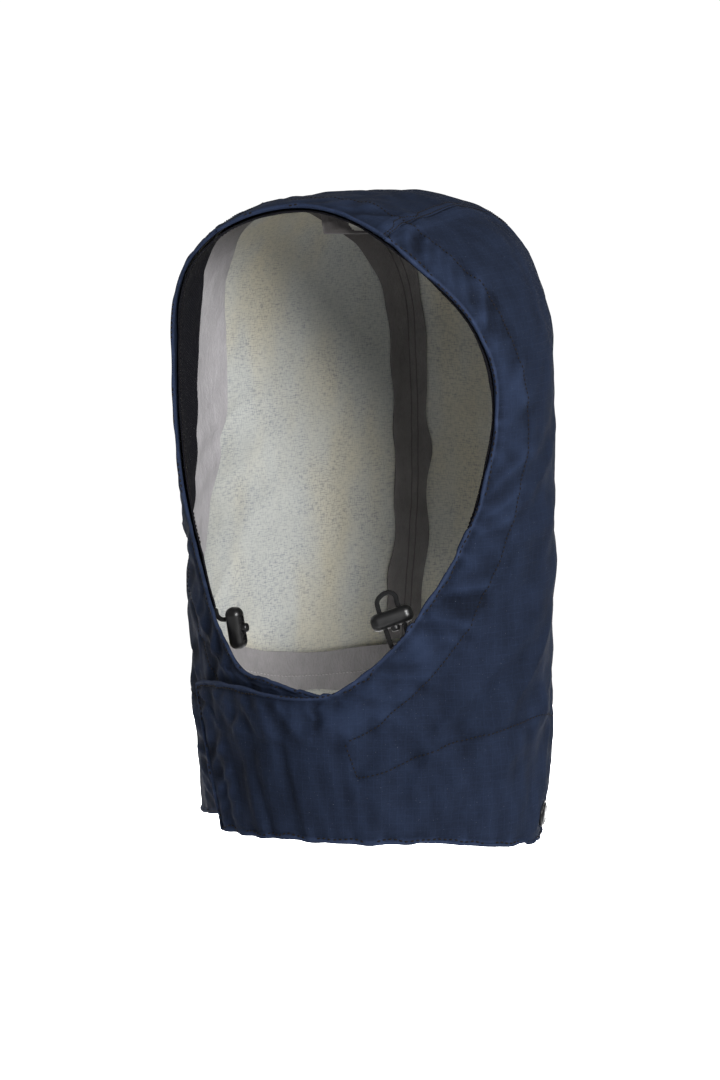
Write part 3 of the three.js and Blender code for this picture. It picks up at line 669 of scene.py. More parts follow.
def sides_between_corners(loop, corners):
    """A closed outline cut at its corners."""
    count = len(loop)
    cuts = sorted(min(range(count), key=lambda k: (loop[k][1] - corner).length) for corner in corners)
    sides = []
    for k, start in enumerate(cuts):
        end = cuts[(k + 1) % len(cuts)]
        end = end + count if end <= start else end
        sides.append([loop[i % count] for i in range(start, end + 1)])
    return sides


def even(points, step):
    """The same line with its points a step apart."""
    lengths = [0.0]
    for a, b in zip(points, points[1:]):
        lengths.append(lengths[-1] + (b - a).length)
    count = max(2, round(lengths[-1] / step))
    made = []
    k = 0
    for i in range(count + 1):
        place = lengths[-1] * i / count
        while k < len(points) - 2 and lengths[k + 1] < place:
            k += 1
        span = lengths[k + 1] - lengths[k]
        made.append(points[k].lerp(points[k + 1], (place - lengths[k]) / span if span else 0))
    return made


def smooth_line(points, step):
    """A smooth curve through the points, with its points a step apart."""
    fine = []
    last = len(points) - 1
    for k in range(last):
        before, a, b, after = (points[max(0, k - 1)], points[k], points[k + 1], points[min(last, k + 2)])
        for i in range(8):
            t = i / 8
            start = (b - before) * 0.5
            end = (after - a) * 0.5
            fine.append(
                a * (2 * t**3 - 3 * t**2 + 1) + b * (3 * t**2 - 2 * t**3)
                + start * (t**3 - 2 * t**2 + t) + end * (t**3 - t**2)
            )
    fine.append(points[-1])
    return even(fine, step)


def smoothed(points, times):
    """The same line with its small kinks evened out and its ends kept."""
    for _ in range(times):
        inner = [(a + b * 2 + c) / 4 for a, b, c in zip(points, points[1:], points[2:])]
        points = [points[0], *inner, points[-1]]
    return points


class Surface:
    """The cloth surface as it now is, for laying lines on it."""

    def __init__(self, pieces, inner=False):
        self.sign = -1 if inner else 1
        corners, faces = [], []
        for piece in pieces:
            start = len(corners)
            corners.extend(v.co.copy() for v in piece.data.vertices)
            faces.extend([start + i for i in p.vertices] for p in piece.data.polygons)
        self.tree = BVHTree.FromPolygons(corners, faces)

    def nearest(self, point):
        """The nearest place on the face that counts, outer or inner, and the way off it there."""
        spot, normal, _, _ = self.tree.find_nearest(point)
        if normal.dot(from_spine(spot)) * self.sign < 0:
            normal = -normal
        above, out, _, _ = self.tree.ray_cast(spot + normal * 3 * MM, -normal, 6 * MM)
        return (above, out) if above is not None and out.dot(normal) > 0.3 else (spot, normal)

    def inset(self, points, distance):
        """A line moved over the surface, to the side on which the cloth lies."""
        spots, ways = [], []
        votes = 0
        for k, point in enumerate(points):
            along = (points[min(len(points) - 1, k + 2)] - points[max(0, k - 2)]).normalized()
            spot, normal = self.nearest(point)
            way = normal.cross(along).normalized()
            off = [(self.nearest(spot + way * s * 8 * MM)[0] - (spot + way * s * 8 * MM)).length for s in (-1, 1)]
            votes += 1 if off[1] < off[0] else -1
            spots.append(spot)
            ways.append(way)
        sign = 1 if votes > 0 else -1
        return [self.nearest(spot + way * sign * distance)[0] for spot, way in zip(spots, ways)]


# Folds and creases of the cloth
class Creases:
    """Puckers along stitched lines, measured by the nearest point of a line."""

    def __init__(self, lines):
        places = []
        run = 0.0
        for line in lines:
            dense = even(line, LINE_STEP)
            for a, b in zip(dense, dense[1:]):
                places.append((a, run))
                run += (b - a).length
            run += 0.1
        self.tree = KDTree(len(places))
        for k, (point, _) in enumerate(places):
            self.tree.insert(point, k)
        self.tree.balance()
        self.runs = [r for _, r in places]

    def near(self, point):
        _, k, distance = self.tree.find(point)
        return distance, self.runs[k]

    def way_from(self, point):
        """The way from the nearest place of the lines to a point, in its full length."""
        spot, _, _ = self.tree.find(point)
        return point - spot


def wobble(a, b=0.0, c=0.0):
    return noise.noise(Vector((a, b, c)))


def ridge(a, b=0.0, c=0.0):
    """Narrow crests with soft hollows between them, as creased cloth has."""
    return 1 - 3.2 * math.sqrt(noise.noise(Vector((a, b, c))) ** 2 + 0.004)


def smooth_share(value, low, high):
    t = min(1.0, max(0.0, (value - low) / (high - low)))
    return t * t * (3 - 2 * t)


def broad_folds(point, edge, hem):
    """How far the whole wall stands out at a point, in millimetres: soft rumples and hanging folds."""
    turn = math.atan2(point.x, -point.y)
    around = turn * 0.105
    height = 1.4 * wobble(point.x * 28, point.y * 28, point.z * 22)
    height += 0.9 * wobble(point.x * 62 + 4, point.y * 62, point.z * 48)
    # Hanging folds on the chin, a little slanting
    low = smooth_share(-point.z, 0.268, 0.315)
    chin = smooth_share(turn, -1.0, -0.75) * (1 - smooth_share(turn, 0.1, 0.55))
    slant = around + (point.z + 0.3) * 0.2
    fold = math.sin(slant * 2 * math.pi / 0.022 + 5.5 * wobble(slant * 24, point.z * 8, 3))
    height += low * chin * 1.3 * fold * max(0.1, 0.7 + 1.3 * wobble(slant * 34, point.z * 9, 17))
    # Diagonal drag lines below the neck stitching at the side
    side = low * smooth_share(turn, 0.25, 0.7) * (1 - smooth_share(turn, 2.2, 2.8))
    across = around * 0.8 - point.z * 0.6
    height += side * 2.4 * ridge(across * 42, (around + point.z) * 9, 21)
    # Slanting drag lines on the cheeks, from the face edge down and back
    cheek = smooth_share(-point.z, 0.08, 0.16) * (1 - smooth_share(-point.z, 0.29, 0.33))
    cheek *= 1 - smooth_share(abs(turn), 1.7, 2.3)
    height += cheek * 2.4 * ridge((abs(around) * 0.8 - point.z) * 30, abs(around) * 8, 5)
    edge_far, _ = edge.near(point)
    hem_far, _ = hem.near(point)
    return height * smooth_share(edge_far, 0.0, 0.018) * (0.45 + 0.55 * smooth_share(hem_far, 0.0, 0.022))


def fine_creases(point, edge, tunnel, neck, hem, seam, rows):
    """How far only the outer face stands out at a point, in millimetres: puckers along the stitching."""
    around = math.atan2(point.x, -point.y) * 0.105
    height = 0.6 * wobble(point.x * 95 + 9, point.y * 95, point.z * 75)
    low = smooth_share(-point.z, 0.262, 0.30)
    slant = around + (point.z + 0.3) * 0.22
    height += low * 0.35 * ridge(slant * 75, point.z * 9, 8)
    edge_far, edge_run = edge.near(point)
    band = smooth_share(edge_far, 0.002, 0.008) * (1 - smooth_share(edge_far, 0.024, 0.031))
    height += band * 1.2 * ridge((edge_run + edge_far * 0.6) * 66, edge_far * 14)
    height += 0.8 * band * wobble((edge_run - edge_far * 0.4) * 100, edge_far * 30, 4)
    off_edge = smooth_share(edge_far, 0.0005, 0.004)
    height += 0.8 * off_edge * math.exp(-((edge_far / 0.010) ** 2)) * wobble(edge_run * 160, edge_far * 50)
    height -= 0.4 * math.exp(-(((edge_far - EDGE_STITCH) / 0.0016) ** 2))
    for line, strength, spacing in ((tunnel, 1.0, 135), (neck, 0.8, 125)):
        far, run = line.near(point)
        height += strength * math.exp(-((far / 0.008) ** 2)) * wobble(run * spacing, far * 60, strength * 50)
        height -= 0.4 * math.exp(-((far / 0.0018) ** 2))
    far, run = hem.near(point)
    off_edge = smooth_share(far, 0.0005, 0.004)
    height += 0.5 * off_edge * math.exp(-((far / 0.007) ** 2)) * wobble(run * 140, far * 60, 7)
    height -= 0.35 * math.exp(-(((far - HEM_STITCH) / 0.0016) ** 2))
    # The seam allowances raise a band beside the seam, with a groove at each row
    far, run = seam.near(point)
    height += 0.8 * smooth_share(far, 0.0002, 0.0014) * (1 - smooth_share(far, rows[-1] + 0.0008, rows[-1] + 0.0026))
    height += 0.35 * math.exp(-((far / 0.012) ** 2)) * wobble(run * 120, far * 50, 11)
    for row in rows:
        height -= 0.5 * math.exp(-(((far - row) / 0.0009) ** 2))
    return height


def lay_broad_folds(piece, edge, hem):
    mesh = piece.data
    normals = [v.normal.copy() for v in mesh.vertices]
    for vertex, normal in zip(mesh.vertices, normals):
        outside = normal if normal.dot(from_spine(vertex.co)) > 0 else -normal
        vertex.co += outside * broad_folds(vertex.co, edge, hem) * MM
    mesh.update()


def lay_fine_creases(piece, outer_count, creases):
    """Creases the outer face only, no deeper than the cloth is thick, and keeps how high each place lies."""
    mesh = piece.data
    normals = [v.normal.copy() for v in mesh.vertices[:outer_count]]
    relief = np.zeros(len(mesh.vertices))
    for k, (vertex, normal) in enumerate(zip(mesh.vertices[:outer_count], normals)):
        outside = normal if normal.dot(from_spine(vertex.co)) > 0 else -normal
        relief[k] = max(fine_creases(vertex.co, *creases), -DEEPEST_CREASE)
        vertex.co += outside * float(relief[k]) * MM
    # The height is kept for the navy finish, which paints the crests lighter and the hollows darker as painted
    # highlight and painted shade.
    mesh.attributes.new("relief", "FLOAT", "POINT").data.foreach_set("value", relief)
    mesh.update()


def mark_turned_in(piece, face_edge, hem):
    """A vertex value above nought where the cloth is turned in and sewn down, so that it shows inside."""
    value = piece.data.attributes.new("turned_in", "FLOAT", "POINT")
    depths = []
    for vertex in piece.data.vertices:
        face_depth = FACE_TURNED_IN - face_edge.near(vertex.co)[0]
        hem_depth = HEM_TURNED_IN - hem.near(vertex.co)[0]
        depths.append(max(face_depth, hem_depth))
    value.data.foreach_set("value", depths)


def weave_map(piece, centre):
    """Lays the weave flat: round the head and down it, or along the middle of the head on the centre panel."""
    mesh = piece.data
    layer = mesh.uv_layers.new(name="weave") if "weave" not in mesh.uv_layers else mesh.uv_layers["weave"]
    flat = np.empty((len(mesh.vertices), 2))
    for k, vertex in enumerate(mesh.vertices):
        x, y, z = vertex.co
        up = max(0.0, z - WIDEST_Z)
        if centre:
            lean = math.atan2(up, -y) if up > 0 else math.pi
            flat[k] = (x, lean * HEAD_RADIUS if up > 0 else math.pi * HEAD_RADIUS - (z - WIDEST_Z))
        else:
            around = math.atan2(x, -(y - SPINE_Y)) * HEAD_RADIUS
            lift = math.asin(min(1.0, up / HEAD_RADIUS)) * HEAD_RADIUS if up > 0 else z - WIDEST_Z
            flat[k] = (around, lift)
    corners = np.empty(len(mesh.loops), dtype=np.int32)
    mesh.loops.foreach_get("vertex_index", corners)
    layer.data.foreach_set("uv", flat[corners].ravel())


def mark_painted_edge_highlight(piece, lines):
    """A vertex value that is high along the folded edges and, in patches, along the stitching beside them: where the
    navy finish lays a painted highlight.
    """
    mesh = piece.data
    value = mesh.attributes.new("painted_edge_highlight", "FLOAT", "POINT")
    marks = []
    for vertex in mesh.vertices:
        far, run = lines.near(vertex.co)
        marks.append(0.9 * math.exp(-((far / 0.0016) ** 2)) + 0.9 * math.exp(-((far / 0.006) ** 2)) * max(0.0, wobble(run * 170)))
    value.data.foreach_set("value", marks)


def swept(name, points, radius, material, sides=3):
    """A round roll along a line."""
    data = bpy.data.curves.new(name, "CURVE")
    data.dimensions = "3D"
    data.bevel_depth = radius
    data.bevel_resolution = sides
    data.use_fill_caps = True
    spline = data.splines.new("POLY")
    spline.points.add(len(points) - 1)
    for spot, point in zip(spline.points, points):
        spot.co = (*point, 1)
    piece = bpy.data.objects.new(name, data)
    bpy.context.scene.collection.objects.link(piece)
    take(piece)
    bpy.ops.object.convert(target="MESH")
    shade(piece, material)
    return piece


def stitch_shape():
    """One stitch: a short rounded bar, thin at its ends, lying along X with Z away from the cloth."""
    rings = [(-0.5, 0.4, -0.7), (-0.3, 1.0, 0.1), (0.0, 1.15, 0.3), (0.3, 1.0, 0.1), (0.5, 0.4, -0.7)]
    corners, faces = [], []
    sides = 5
    for x, wide, up in rings:
        for s in range(sides):
            angle = 2 * math.pi * s / sides
            corners.append((
                x * STITCH_LONG, math.cos(angle) * wide * STITCH_THICK,
                (math.sin(angle) * wide + up) * STITCH_THICK,
            ))
    for r in range(len(rings) - 1):
        for s in range(sides):
            a, b = r * sides + s, r * sides + (s + 1) % sides
            faces.append((a, b, b + sides, a + sides))
    faces.append(tuple(range(sides))[::-1])
    faces.append(tuple(range((len(rings) - 1) * sides, len(rings) * sides)))
    return corners, faces


STITCH_CORNERS, STITCH_FACES = stitch_shape()


def stitches(name, lines, surface, material, size=1.0):
    """Rows of stitches laid on the cloth along the lines, as one piece."""
    corners, faces = [], []
    shake = 0
    for line in lines:
        spots = even(line, (STITCH_LONG + STITCH_GAP) * size)
        for a, b in zip(spots, spots[1:]):
            shake += 1
            along = (b - a).normalized()
            spot, normal = surface.nearest(a.lerp(b, 0.5))
            side = normal.cross(along).normalized()
            along = (along + side * 0.16 * wobble(shake * 0.71)).normalized()
            side = normal.cross(along).normalized()
            turn = Matrix((along * size, side * size, normal * size)).transposed()
            lift = spot + normal * (0.04 * MM)
            start = len(corners)
            corners.extend(lift + turn @ Vector(c) for c in STITCH_CORNERS)
            faces.extend(tuple(start + i for i in f) for f in STITCH_FACES)
    mesh = bpy.data.meshes.new(name)
    mesh.from_pydata(corners, [], faces)
    piece = bpy.data.objects.new(name, mesh)
    bpy.context.scene.collection.objects.link(piece)
    shade(piece, material)
    return piece


def place_at(turn_degrees, down_mm):
    """A point near the neck by its turn from the front."""
    turn = math.radians(turn_degrees)
    return Vector((math.sin(turn) * HEAD_RADIUS, -math.cos(turn) * HEAD_RADIUS, -down_mm * MM))


def ring_spot(surface, turn_degrees, down_mm):
    """The cloth surface at a turn round the head, reached from outside."""
    turn = math.radians(turn_degrees)
    way = Vector((math.sin(turn), -math.cos(turn), 0))
    start = Vector((0, 0, -down_mm * MM)) + way * 0.4
    spot, _, _, _ = surface.tree.ray_cast(start, -way)
    return spot if spot else surface.nearest(place_at(turn_degrees, down_mm))[0]


# Cords come first after the camera
def make_cord(name, node, route):
    data = bpy.data.curves.new(name, "CURVE")
    data.dimensions = "3D"
    data.bevel_depth = CORD_THICK / 2 * MM
    data.bevel_resolution = 4
    data.use_fill_caps = True
    spline = data.splines.new("BEZIER")
    spline.resolution_u = 6
    spline.bezier_points.add(len(route) - 1)
    for spot, point in zip(spline.bezier_points, route):
        spot.co = Vector(point) * MM
        spot.handle_left_type = "AUTO"
        spot.handle_right_type = "AUTO"
    piece = bpy.data.objects.new(name, data)
    bpy.context.scene.collection.objects.link(piece)
    data.materials.append(CORD)
    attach(piece, "root")
    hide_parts(node)


make_camera()
make_cord("left_elastic_cord", "left_drawcord", LEFT_CORD_ROUTE)
make_cord("right_elastic_cord", "right_drawcord", RIGHT_CORD_ROUTE)
make_studio()


# Cloth panels
def outer_sheet(node, name):
    piece = copy_of(node, name)
    keep_outer_layer(piece)
    corners = corners_of(piece)
    apply_modifier(piece, "SUBSURF", levels=2, render_levels=2, boundary_smooth="PRESERVE_CORNERS")
    return piece, sides_between_corners(outlines(piece)[0], corners)


def side_of(loop, test):
    return max(loop, key=lambda side: test([p for _, p in side]))


def mean(values):
    values = list(values)
    return sum(values) / len(values)


def refine(piece, test):
    """Halves the faces whose centres pass a test, for finer creases."""
    take(piece)
    bpy.ops.object.mode_set(mode="EDIT")
    bpy.ops.mesh.select_mode(type="FACE")
    bpy.ops.mesh.select_all(action="DESELECT")
    bpy.ops.object.mode_set(mode="OBJECT")
    for face in piece.data.polygons:
        face.select = test(face.center)
    bpy.ops.object.mode_set(mode="EDIT")
    bpy.ops.mesh.subdivide(number_cuts=1, smoothness=0.0)
    bpy.ops.object.mode_set(mode="OBJECT")


def lower_corner(piece, corner):
    """Lets the corner of the underlap hang a little lower, behind the flap's edge."""
    for vertex in piece.data.vertices:
        share = 1 - smooth_share((vertex.co - corner).length, 0.0, UNDERLAP_REACH)
        vertex.co.z -= UNDERLAP_DROP * share


def close_seam(side_sheet, seam, centre_line):
    """Pulls a side panel's seam edge onto the centre panel's, so that no light shows through."""
    tree = KDTree(len(centre_line))
    for k, point in enumerate(centre_line):
        tree.insert(point, k)
    tree.balance()
    for index, _ in seam:
        vertex = side_sheet.data.vertices[index]
        spot, _, far = tree.find(vertex.co)
        if far < 2 * MM:
            vertex.co = spot


def build_panels():
    sides = {}
    centre, sides["centre"] = outer_sheet("centre_panel", "centre_cloth")
    left, sides["left"] = outer_sheet("left_side_panel", "left_side_cloth")
    right, sides["right"] = outer_sheet("right_side_panel", "right_side_cloth")
    lower_corner(right, max((p for _, p in outlines(right)[0]), key=lambda p: p.x - p.y))
    sides["right"] = sides_between_corners(outlines(right)[0], [s[0][1] for s in sides["right"]])
    centre_left = side_of(sides["centre"], lambda ps: mean(p.x for p in ps))
    centre_right = side_of(sides["centre"], lambda ps: -mean(p.x for p in ps))
    brow = side_of(sides["centre"], lambda ps: -mean(p.y for p in ps))
    centre_hem = side_of(sides["centre"], lambda ps: -mean(p.z for p in ps))
    found = {"brow": brow, "centre_hem": centre_hem}
    for name, seam_line in (("left", centre_left), ("right", centre_right)):
        seam = side_of(sides[name], lambda ps: mean(p.y for p in ps))
        rest = [s for s in sides[name] if s is not seam]
        hem = side_of(rest, lambda ps: -mean(p.z for p in ps))
        rest = [s for s in rest if s is not hem]
        face = max(rest, key=len)
        end = min(rest, key=len)
        found[name] = {"seam": seam, "hem": hem, "face": face, "end": end}
        dense = even([p for _, p in seam_line], 1.0 * MM)
        close_seam({"left": left, "right": right}[name], seam, dense)
        found[name]["seam_points"] = [p for _, p in seam_line]
    return centre, left, right, found


centre_cloth, left_cloth, right_cloth, found = build_panels()
plain = Surface([centre_cloth, left_cloth, right_cloth])
only_points = lambda side: [p for _, p in side]

face_lines = [only_points(found["left"]["face"]), only_points(found["right"]["face"]), only_points(found["brow"])]
hem_lines = [only_points(found["left"]["hem"]), only_points(found["right"]["hem"]), only_points(found["centre_hem"])]
end_lines = [only_points(found["left"]["end"])]
tunnel_route = [Vector((r["out"], -r["fore"], -r["down"])) * MM for r in TUNNEL_STITCH]
tunnel_left = [plain.nearest(p)[0] for p in smooth_line(tunnel_route, 2 * MM)]
tunnel_right = [plain.nearest(Vector((-p.x, p.y, p.z)))[0] for p in tunnel_left]
tunnel_brow = [plain.nearest(p)[0] for p in smooth_line(
    [tunnel_right[0], Vector((0, -49 * MM, -0.5 * MM)), tunnel_left[0]], 2 * MM)]


def neck_row(side, start):
    rows = [r for r in NECK_STITCH if r["turn"] >= start]
    spots = [ring_spot(plain, side * r["turn"], r["down"]) for r in rows]
    return [plain.nearest(p)[0] for p in smooth_line(spots, 2 * MM)]


neck_left = neck_row(1, 0)
neck_right = neck_row(-1, RIGHT_NECK_FROM)
tunnel_end = [ring_spot(plain, r["turn"], r["down"]) for r in TUNNEL_END]
creases = (
    Creases(face_lines + end_lines),
    Creases([tunnel_left, tunnel_right, tunnel_brow, even(tunnel_end, MM)]),
    Creases([neck_left, neck_right]),
    Creases(hem_lines),
)
seam_lines = Creases([found["left"]["seam_points"], found["right"]["seam_points"]])

outer_edges = {}
for piece in (left_cloth, right_cloth, centre_cloth):
    refine(piece, lambda p: piece is centre_cloth or p.y < FINE_BEFORE_Y or seam_lines.near(p)[0] < SEAM_REFINED)
    lay_broad_folds(piece, creases[0], creases[3])
    outer_edges[piece.name] = [p for _, p in outlines(piece)[0]]
    outer_count = len(piece.data.vertices)
    piece.data.materials.clear()
    piece.data.materials.append(NAVY)
    piece.data.materials.append(MEMBRANE)
    apply_modifier(piece, "SOLIDIFY", thickness=CLOTH, offset=-1.0, material_offset=1, use_even_offset=False)
    mark_turned_in(piece, creases[0], creases[3])
    rows = SEAM_STITCHES if piece is centre_cloth else SIDE_SEAM_GROOVES
    lay_fine_creases(piece, outer_count, (*creases, seam_lines, rows))
cloth_surface = Surface([centre_cloth, left_cloth, right_cloth])
left_surface = Surface([left_cloth])
right_surface = Surface([right_cloth])
centre_surface = Surface([centre_cloth])


def boundary_line(piece, points):
    """An edge of the folded cloth, between the places where that edge began and ended before the folds."""
    loop = outer_edges[piece.name]
    start, middle, end = (
        min(range(len(loop)), key=lambda k: (loop[k] - points[i]).length) for i in (0, len(points) // 2, -1)
    )
    count = len(loop)
    forward = (middle - start) % count <= (end - start) % count
    step = 1 if forward else -1
    line = [loop[start]]
    at = start
    while at != end:
        at = (at + step) % count
        line.append(loop[at])
    return even(line, 2 * MM)


rolls = {"left": [], "right": [], "centre": []}
edges_of = {
    "left": [found["left"]["face"], found["left"]["end"], found["left"]["hem"]],
    "right": [found["right"]["face"], found["right"]["hem"]],
    "centre": [found["brow"], found["centre_hem"]],
}
surface_of = {"left": left_surface, "right": right_surface, "centre": centre_surface}
cloth_of = {"left": left_cloth, "right": right_cloth, "centre": centre_cloth}
edge_rows = {"left": [], "right": [], "centre": []}
for name, sides in edges_of.items():
    for side in sides:
        line = smoothed(boundary_line(cloth_of[name], only_points(side)), 2)
        ways = smoothed([surface_of[name].nearest(p)[1] for p in line], 8)
        sunk = [p - way.normalized() * CLOTH / 2 for p, way in zip(line, ways)]
        rolls[name].append(swept(f"{name}_roll", sunk, ROLL_RADIUS, NAVY, 4))
        hem = mean(p.z for p in line) < -0.34
        row = smoothed(surface_of[name].inset(line, HEM_STITCH if hem else EDGE_STITCH), 3)
        edge_rows[name].append(row)

# The edges along which the navy cloth gets its painted highlight.
edge_highlight_lines = Creases(face_lines + end_lines + hem_lines)


def finish_panel(piece, name, node, edges):
    take(piece)
    bpy.ops.object.shade_smooth()
    whole = join(name, [piece, *edges])
    weave_map(whole, name.startswith("centre"))
    mark_painted_edge_highlight(whole, edge_highlight_lines)
    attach(whole, "root")
    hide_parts(node)
    return whole


finish_panel(centre_cloth, "centre_cloth", "centre_panel", rolls["centre"])
finish_panel(left_cloth, "left_side_cloth", "left_side_panel", rolls["left"])
finish_panel(right_cloth, "right_side_cloth", "right_side_panel", rolls["right"])


# Rows of stitching on the outside
def sew(name, lines, surface, material=THREAD_WITH_PAINTED_SHADE, size=1.0):
    piece = stitches(name, lines, surface, material, size)
    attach(piece, "root")
    return piece


for name, rows in edge_rows.items():
    sew(f"{name}_edge_stitching", rows, surface_of[name], size=1.25)
sew("tunnel_stitching", [tunnel_left, tunnel_brow, even(tunnel_end, MM)], cloth_surface)
sew("right_tunnel_stitching", [tunnel_right], right_surface)
sew("neck_stitching", [neck_left], left_surface)
sew("right_neck_stitching", [neck_right], right_surface)
for name in ("left", "right"):
    seam = even(found[name]["seam_points"], 2 * MM)
    rows = [smoothed(centre_surface.inset(seam, d), 6) for d in SEAM_STITCHES]
    sew(f"{name}_seam_stitching", rows, centre_surface, size=0.85)


# Facing and tapes inside
def strip(node, name, material, spread=0.0):
    piece = copy_of(node, name)
    mesh = bmesh.new()
    mesh.from_mesh(piece.data)
    crease = mesh.edges.layers.float.new("crease_edge")
    for edge in mesh.edges:
        if len(edge.link_faces) == 2 and edge.calc_face_angle(0) > math.radians(50):
            edge[crease] = 1.0
    mesh.to_mesh(piece.data)
    mesh.free()
    apply_modifier(piece, "SUBSURF", levels=2, render_levels=2)
    lay_folds_inside(piece, spread)
    shade(piece, material, 50)
    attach(piece, "root")
    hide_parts(node)
    return piece


def lay_folds_inside(piece, spread):
    """Moves a strip with the cloth that it lies on, and gives it puckers and wavy edges of its own."""
    for vertex in piece.data.vertices:
        spot, normal = plain.nearest(vertex.co)
        move = broad_folds(spot, creases[0], creases[3])
        own = 0.3 * ridge(vertex.co.z * 60, vertex.co.y * 40, vertex.co.x * 30)
        x, y, z = vertex.co * 34
        sway = Vector((wobble(x, y, z), wobble(x + 7, y, z), wobble(x, y + 7, z))) * STRIP_SWAY
        sway += creases[0].way_from(vertex.co) * spread
        vertex.co += sway - normal * sway.dot(normal) + normal * (move - max(0.0, own)) * MM
    piece.data.update()


facing = strip("face_facing", "facing_cloth", TWILL, FACE_SPREAD)
strip("face_tape", "face_tape_strip", PALE_TAPE, FACE_SPREAD)
tapes = {
    node: strip(node, f"{node}_strip", finish)
    for node, finish in (("left_seam_tape", SEAM_TAPE_PAINTED_SHADE), ("right_seam_tape", SEAM_TAPE_PAINTED_SHADE), ("neck_tape", NECK_TAPE_PAINTED_SHADE))
}


def inside_triangle(x, z, corners):
    turns = []
    for k, (ax, az) in enumerate(corners):
        bx, bz = corners[(k + 1) % 3]
        turns.append((bx - ax) * (z - az) - (bz - az) * (x - ax))
    return all(t > 0 for t in turns) or all(t < 0 for t in turns)


def tape_fold():
    """The end of the tape that stands off the cloth inside the brow, with the pale backing behind its gap."""
    deselect_all()
    bpy.ops.mesh.primitive_grid_add(x_subdivisions=40, y_subdivisions=16, size=1)
    piece = bpy.context.object
    top, bottom = ([Vector(p) * MM for p in edge] for edge in (FOLD_TOP, FOLD_BOTTOM))
    rims = {"left": [], "low": []}
    for vertex in piece.data.vertices:
        u, v = vertex.co.x + 0.5, 0.5 - vertex.co.y
        spot = top[0].lerp(top[1], u).lerp(bottom[0].lerp(bottom[1], u), v)
        spot.y -= FOLD_BULGE * math.sin(math.pi * u) * v + 0.5 * MM * wobble(u * 4, v * 3)
        vertex.co = spot
        if v > 0.999:
            rims["low"].append((u, spot.copy()))
        if u < 0.001:
            rims["left"].append((v, spot.copy()))
    piece.data.materials.append(NECK_TAPE_PAINTED_SHADE)
    piece.data.materials.append(MEMBRANE)
    for face in piece.data.polygons:
        face.material_index = int(inside_triangle(face.center.x / MM, face.center.z / MM, FOLD_GAP))
    apply_modifier(piece, "SOLIDIFY", thickness=TAPE_THICK, offset=0.0)
    shade(piece, None, 40)
    rolls_of_fold = [
        swept(f"fold_{name}", [p for _, p in sorted(rim, key=lambda r: r[0])], FOLD_EDGE, PALE_TAPE)
        for name, rim in rims.items()
    ]
    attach(join("brow_tape_fold", [piece, *rolls_of_fold]), "root")


tape_fold()


# Seam ridges and stitching that show through the tapes
def taped_rows(surface, points, offsets):
    rows = []
    for offset in offsets:
        row = []
        for k, point in enumerate(points):
            along = (points[min(len(points) - 1, k + 2)] - points[max(0, k - 2)]).normalized()
            spot, normal = surface.nearest(point)
            row.append(surface.nearest(spot + normal.cross(along).normalized() * offset)[0])
        rows.append(smoothed(row, 4))
    return rows


for name in ("left", "right"):
    taped = Surface([tapes[f"{name}_seam_tape"]], inner=True)
    seam = even(found[name]["seam_points"], 2 * MM)[SEAM_RIDGE_FROM:-SEAM_RIDGE_TO]
    ridges = [
        swept(f"{name}_seam_ridge", row, SEAM_RIDGE, SEAM_RIDGE_THREAD_PAINTED_SHADE)
        for row in taped_rows(taped, seam, SEAM_RIDGE_OFFSETS)
    ]
    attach(join(f"{name}_seam_ridges", ridges), "root")
facing_inside = Surface([facing], inner=True)
facing_rows = []
for line in face_lines:
    kept = [p for p in even(line, 2 * MM) if p.z > FACING_ROW_ABOVE_Z]
    inward = [p + Vector((-p.x, SPINE_Y - p.y, 0)).normalized() * FACING_ROW for p in kept]
    facing_rows.append(smoothed([facing_inside.nearest(p)[0] for p in inward], 4))
sew("facing_stitching", facing_rows, facing_inside)
neck_taped = Surface([tapes["neck_tape"]], inner=True)
neck_inside = [taped_rows(neck_taped, [p for p in row if p.y > NECK_ROW_BEHIND_Y], (0.0,))[0] for row in (neck_left, neck_right)]
sew("neck_tape_stitching", neck_inside, neck_taped, NECK_THREAD)


# Cord locks and buttons
def lock_frame(lock):
    long = Vector(lock["long"]).normalized()
    cord = Vector(lock["cord"])
    cord = (cord - long * cord.dot(long)).normalized()
    wide = cord.cross(long)
    turn = Matrix((long, wide, cord)).transposed().to_4x4()
    return Matrix.Translation(Vector(lock["centre"]) * MM) @ turn


def edges_along(piece, test):
    """Selects the edges whose two ends pass a test."""
    mesh = piece.data
    for vertex in mesh.vertices:
        vertex.select = False
    for face in mesh.polygons:
        face.select = False
    for edge in mesh.edges:
        a, b = (mesh.vertices[i].co for i in edge.vertices)
        edge.select = test(a, b)


def bevel_edges(piece, test, width, segments):
    take(piece)
    bpy.ops.object.mode_set(mode="EDIT")
    bpy.ops.mesh.select_mode(type="EDGE")
    bpy.ops.mesh.select_all(action="DESELECT")
    bpy.ops.object.mode_set(mode="OBJECT")
    edges_along(piece, test)
    bpy.ops.object.mode_set(mode="EDIT")
    bpy.ops.mesh.bevel(offset=width, segments=segments, affect="EDGES", clamp_overlap=True)
    bpy.ops.object.mode_set(mode="OBJECT")


def cylinder(radius, low, high, x=0.0, sides=40):
    bpy.ops.object.select_all(action="DESELECT")
    bpy.ops.mesh.primitive_cylinder_add(
        vertices=sides, radius=radius, depth=high - low, location=(x, 0, (low + high) / 2)
    )
    made = bpy.context.object
    apply_place(made)
    return made


def cut_with(piece, tools):
    for tool in tools:
        apply_modifier(piece, "BOOLEAN", object=tool, operation="DIFFERENCE", solver="EXACT")
        bpy.data.objects.remove(tool)


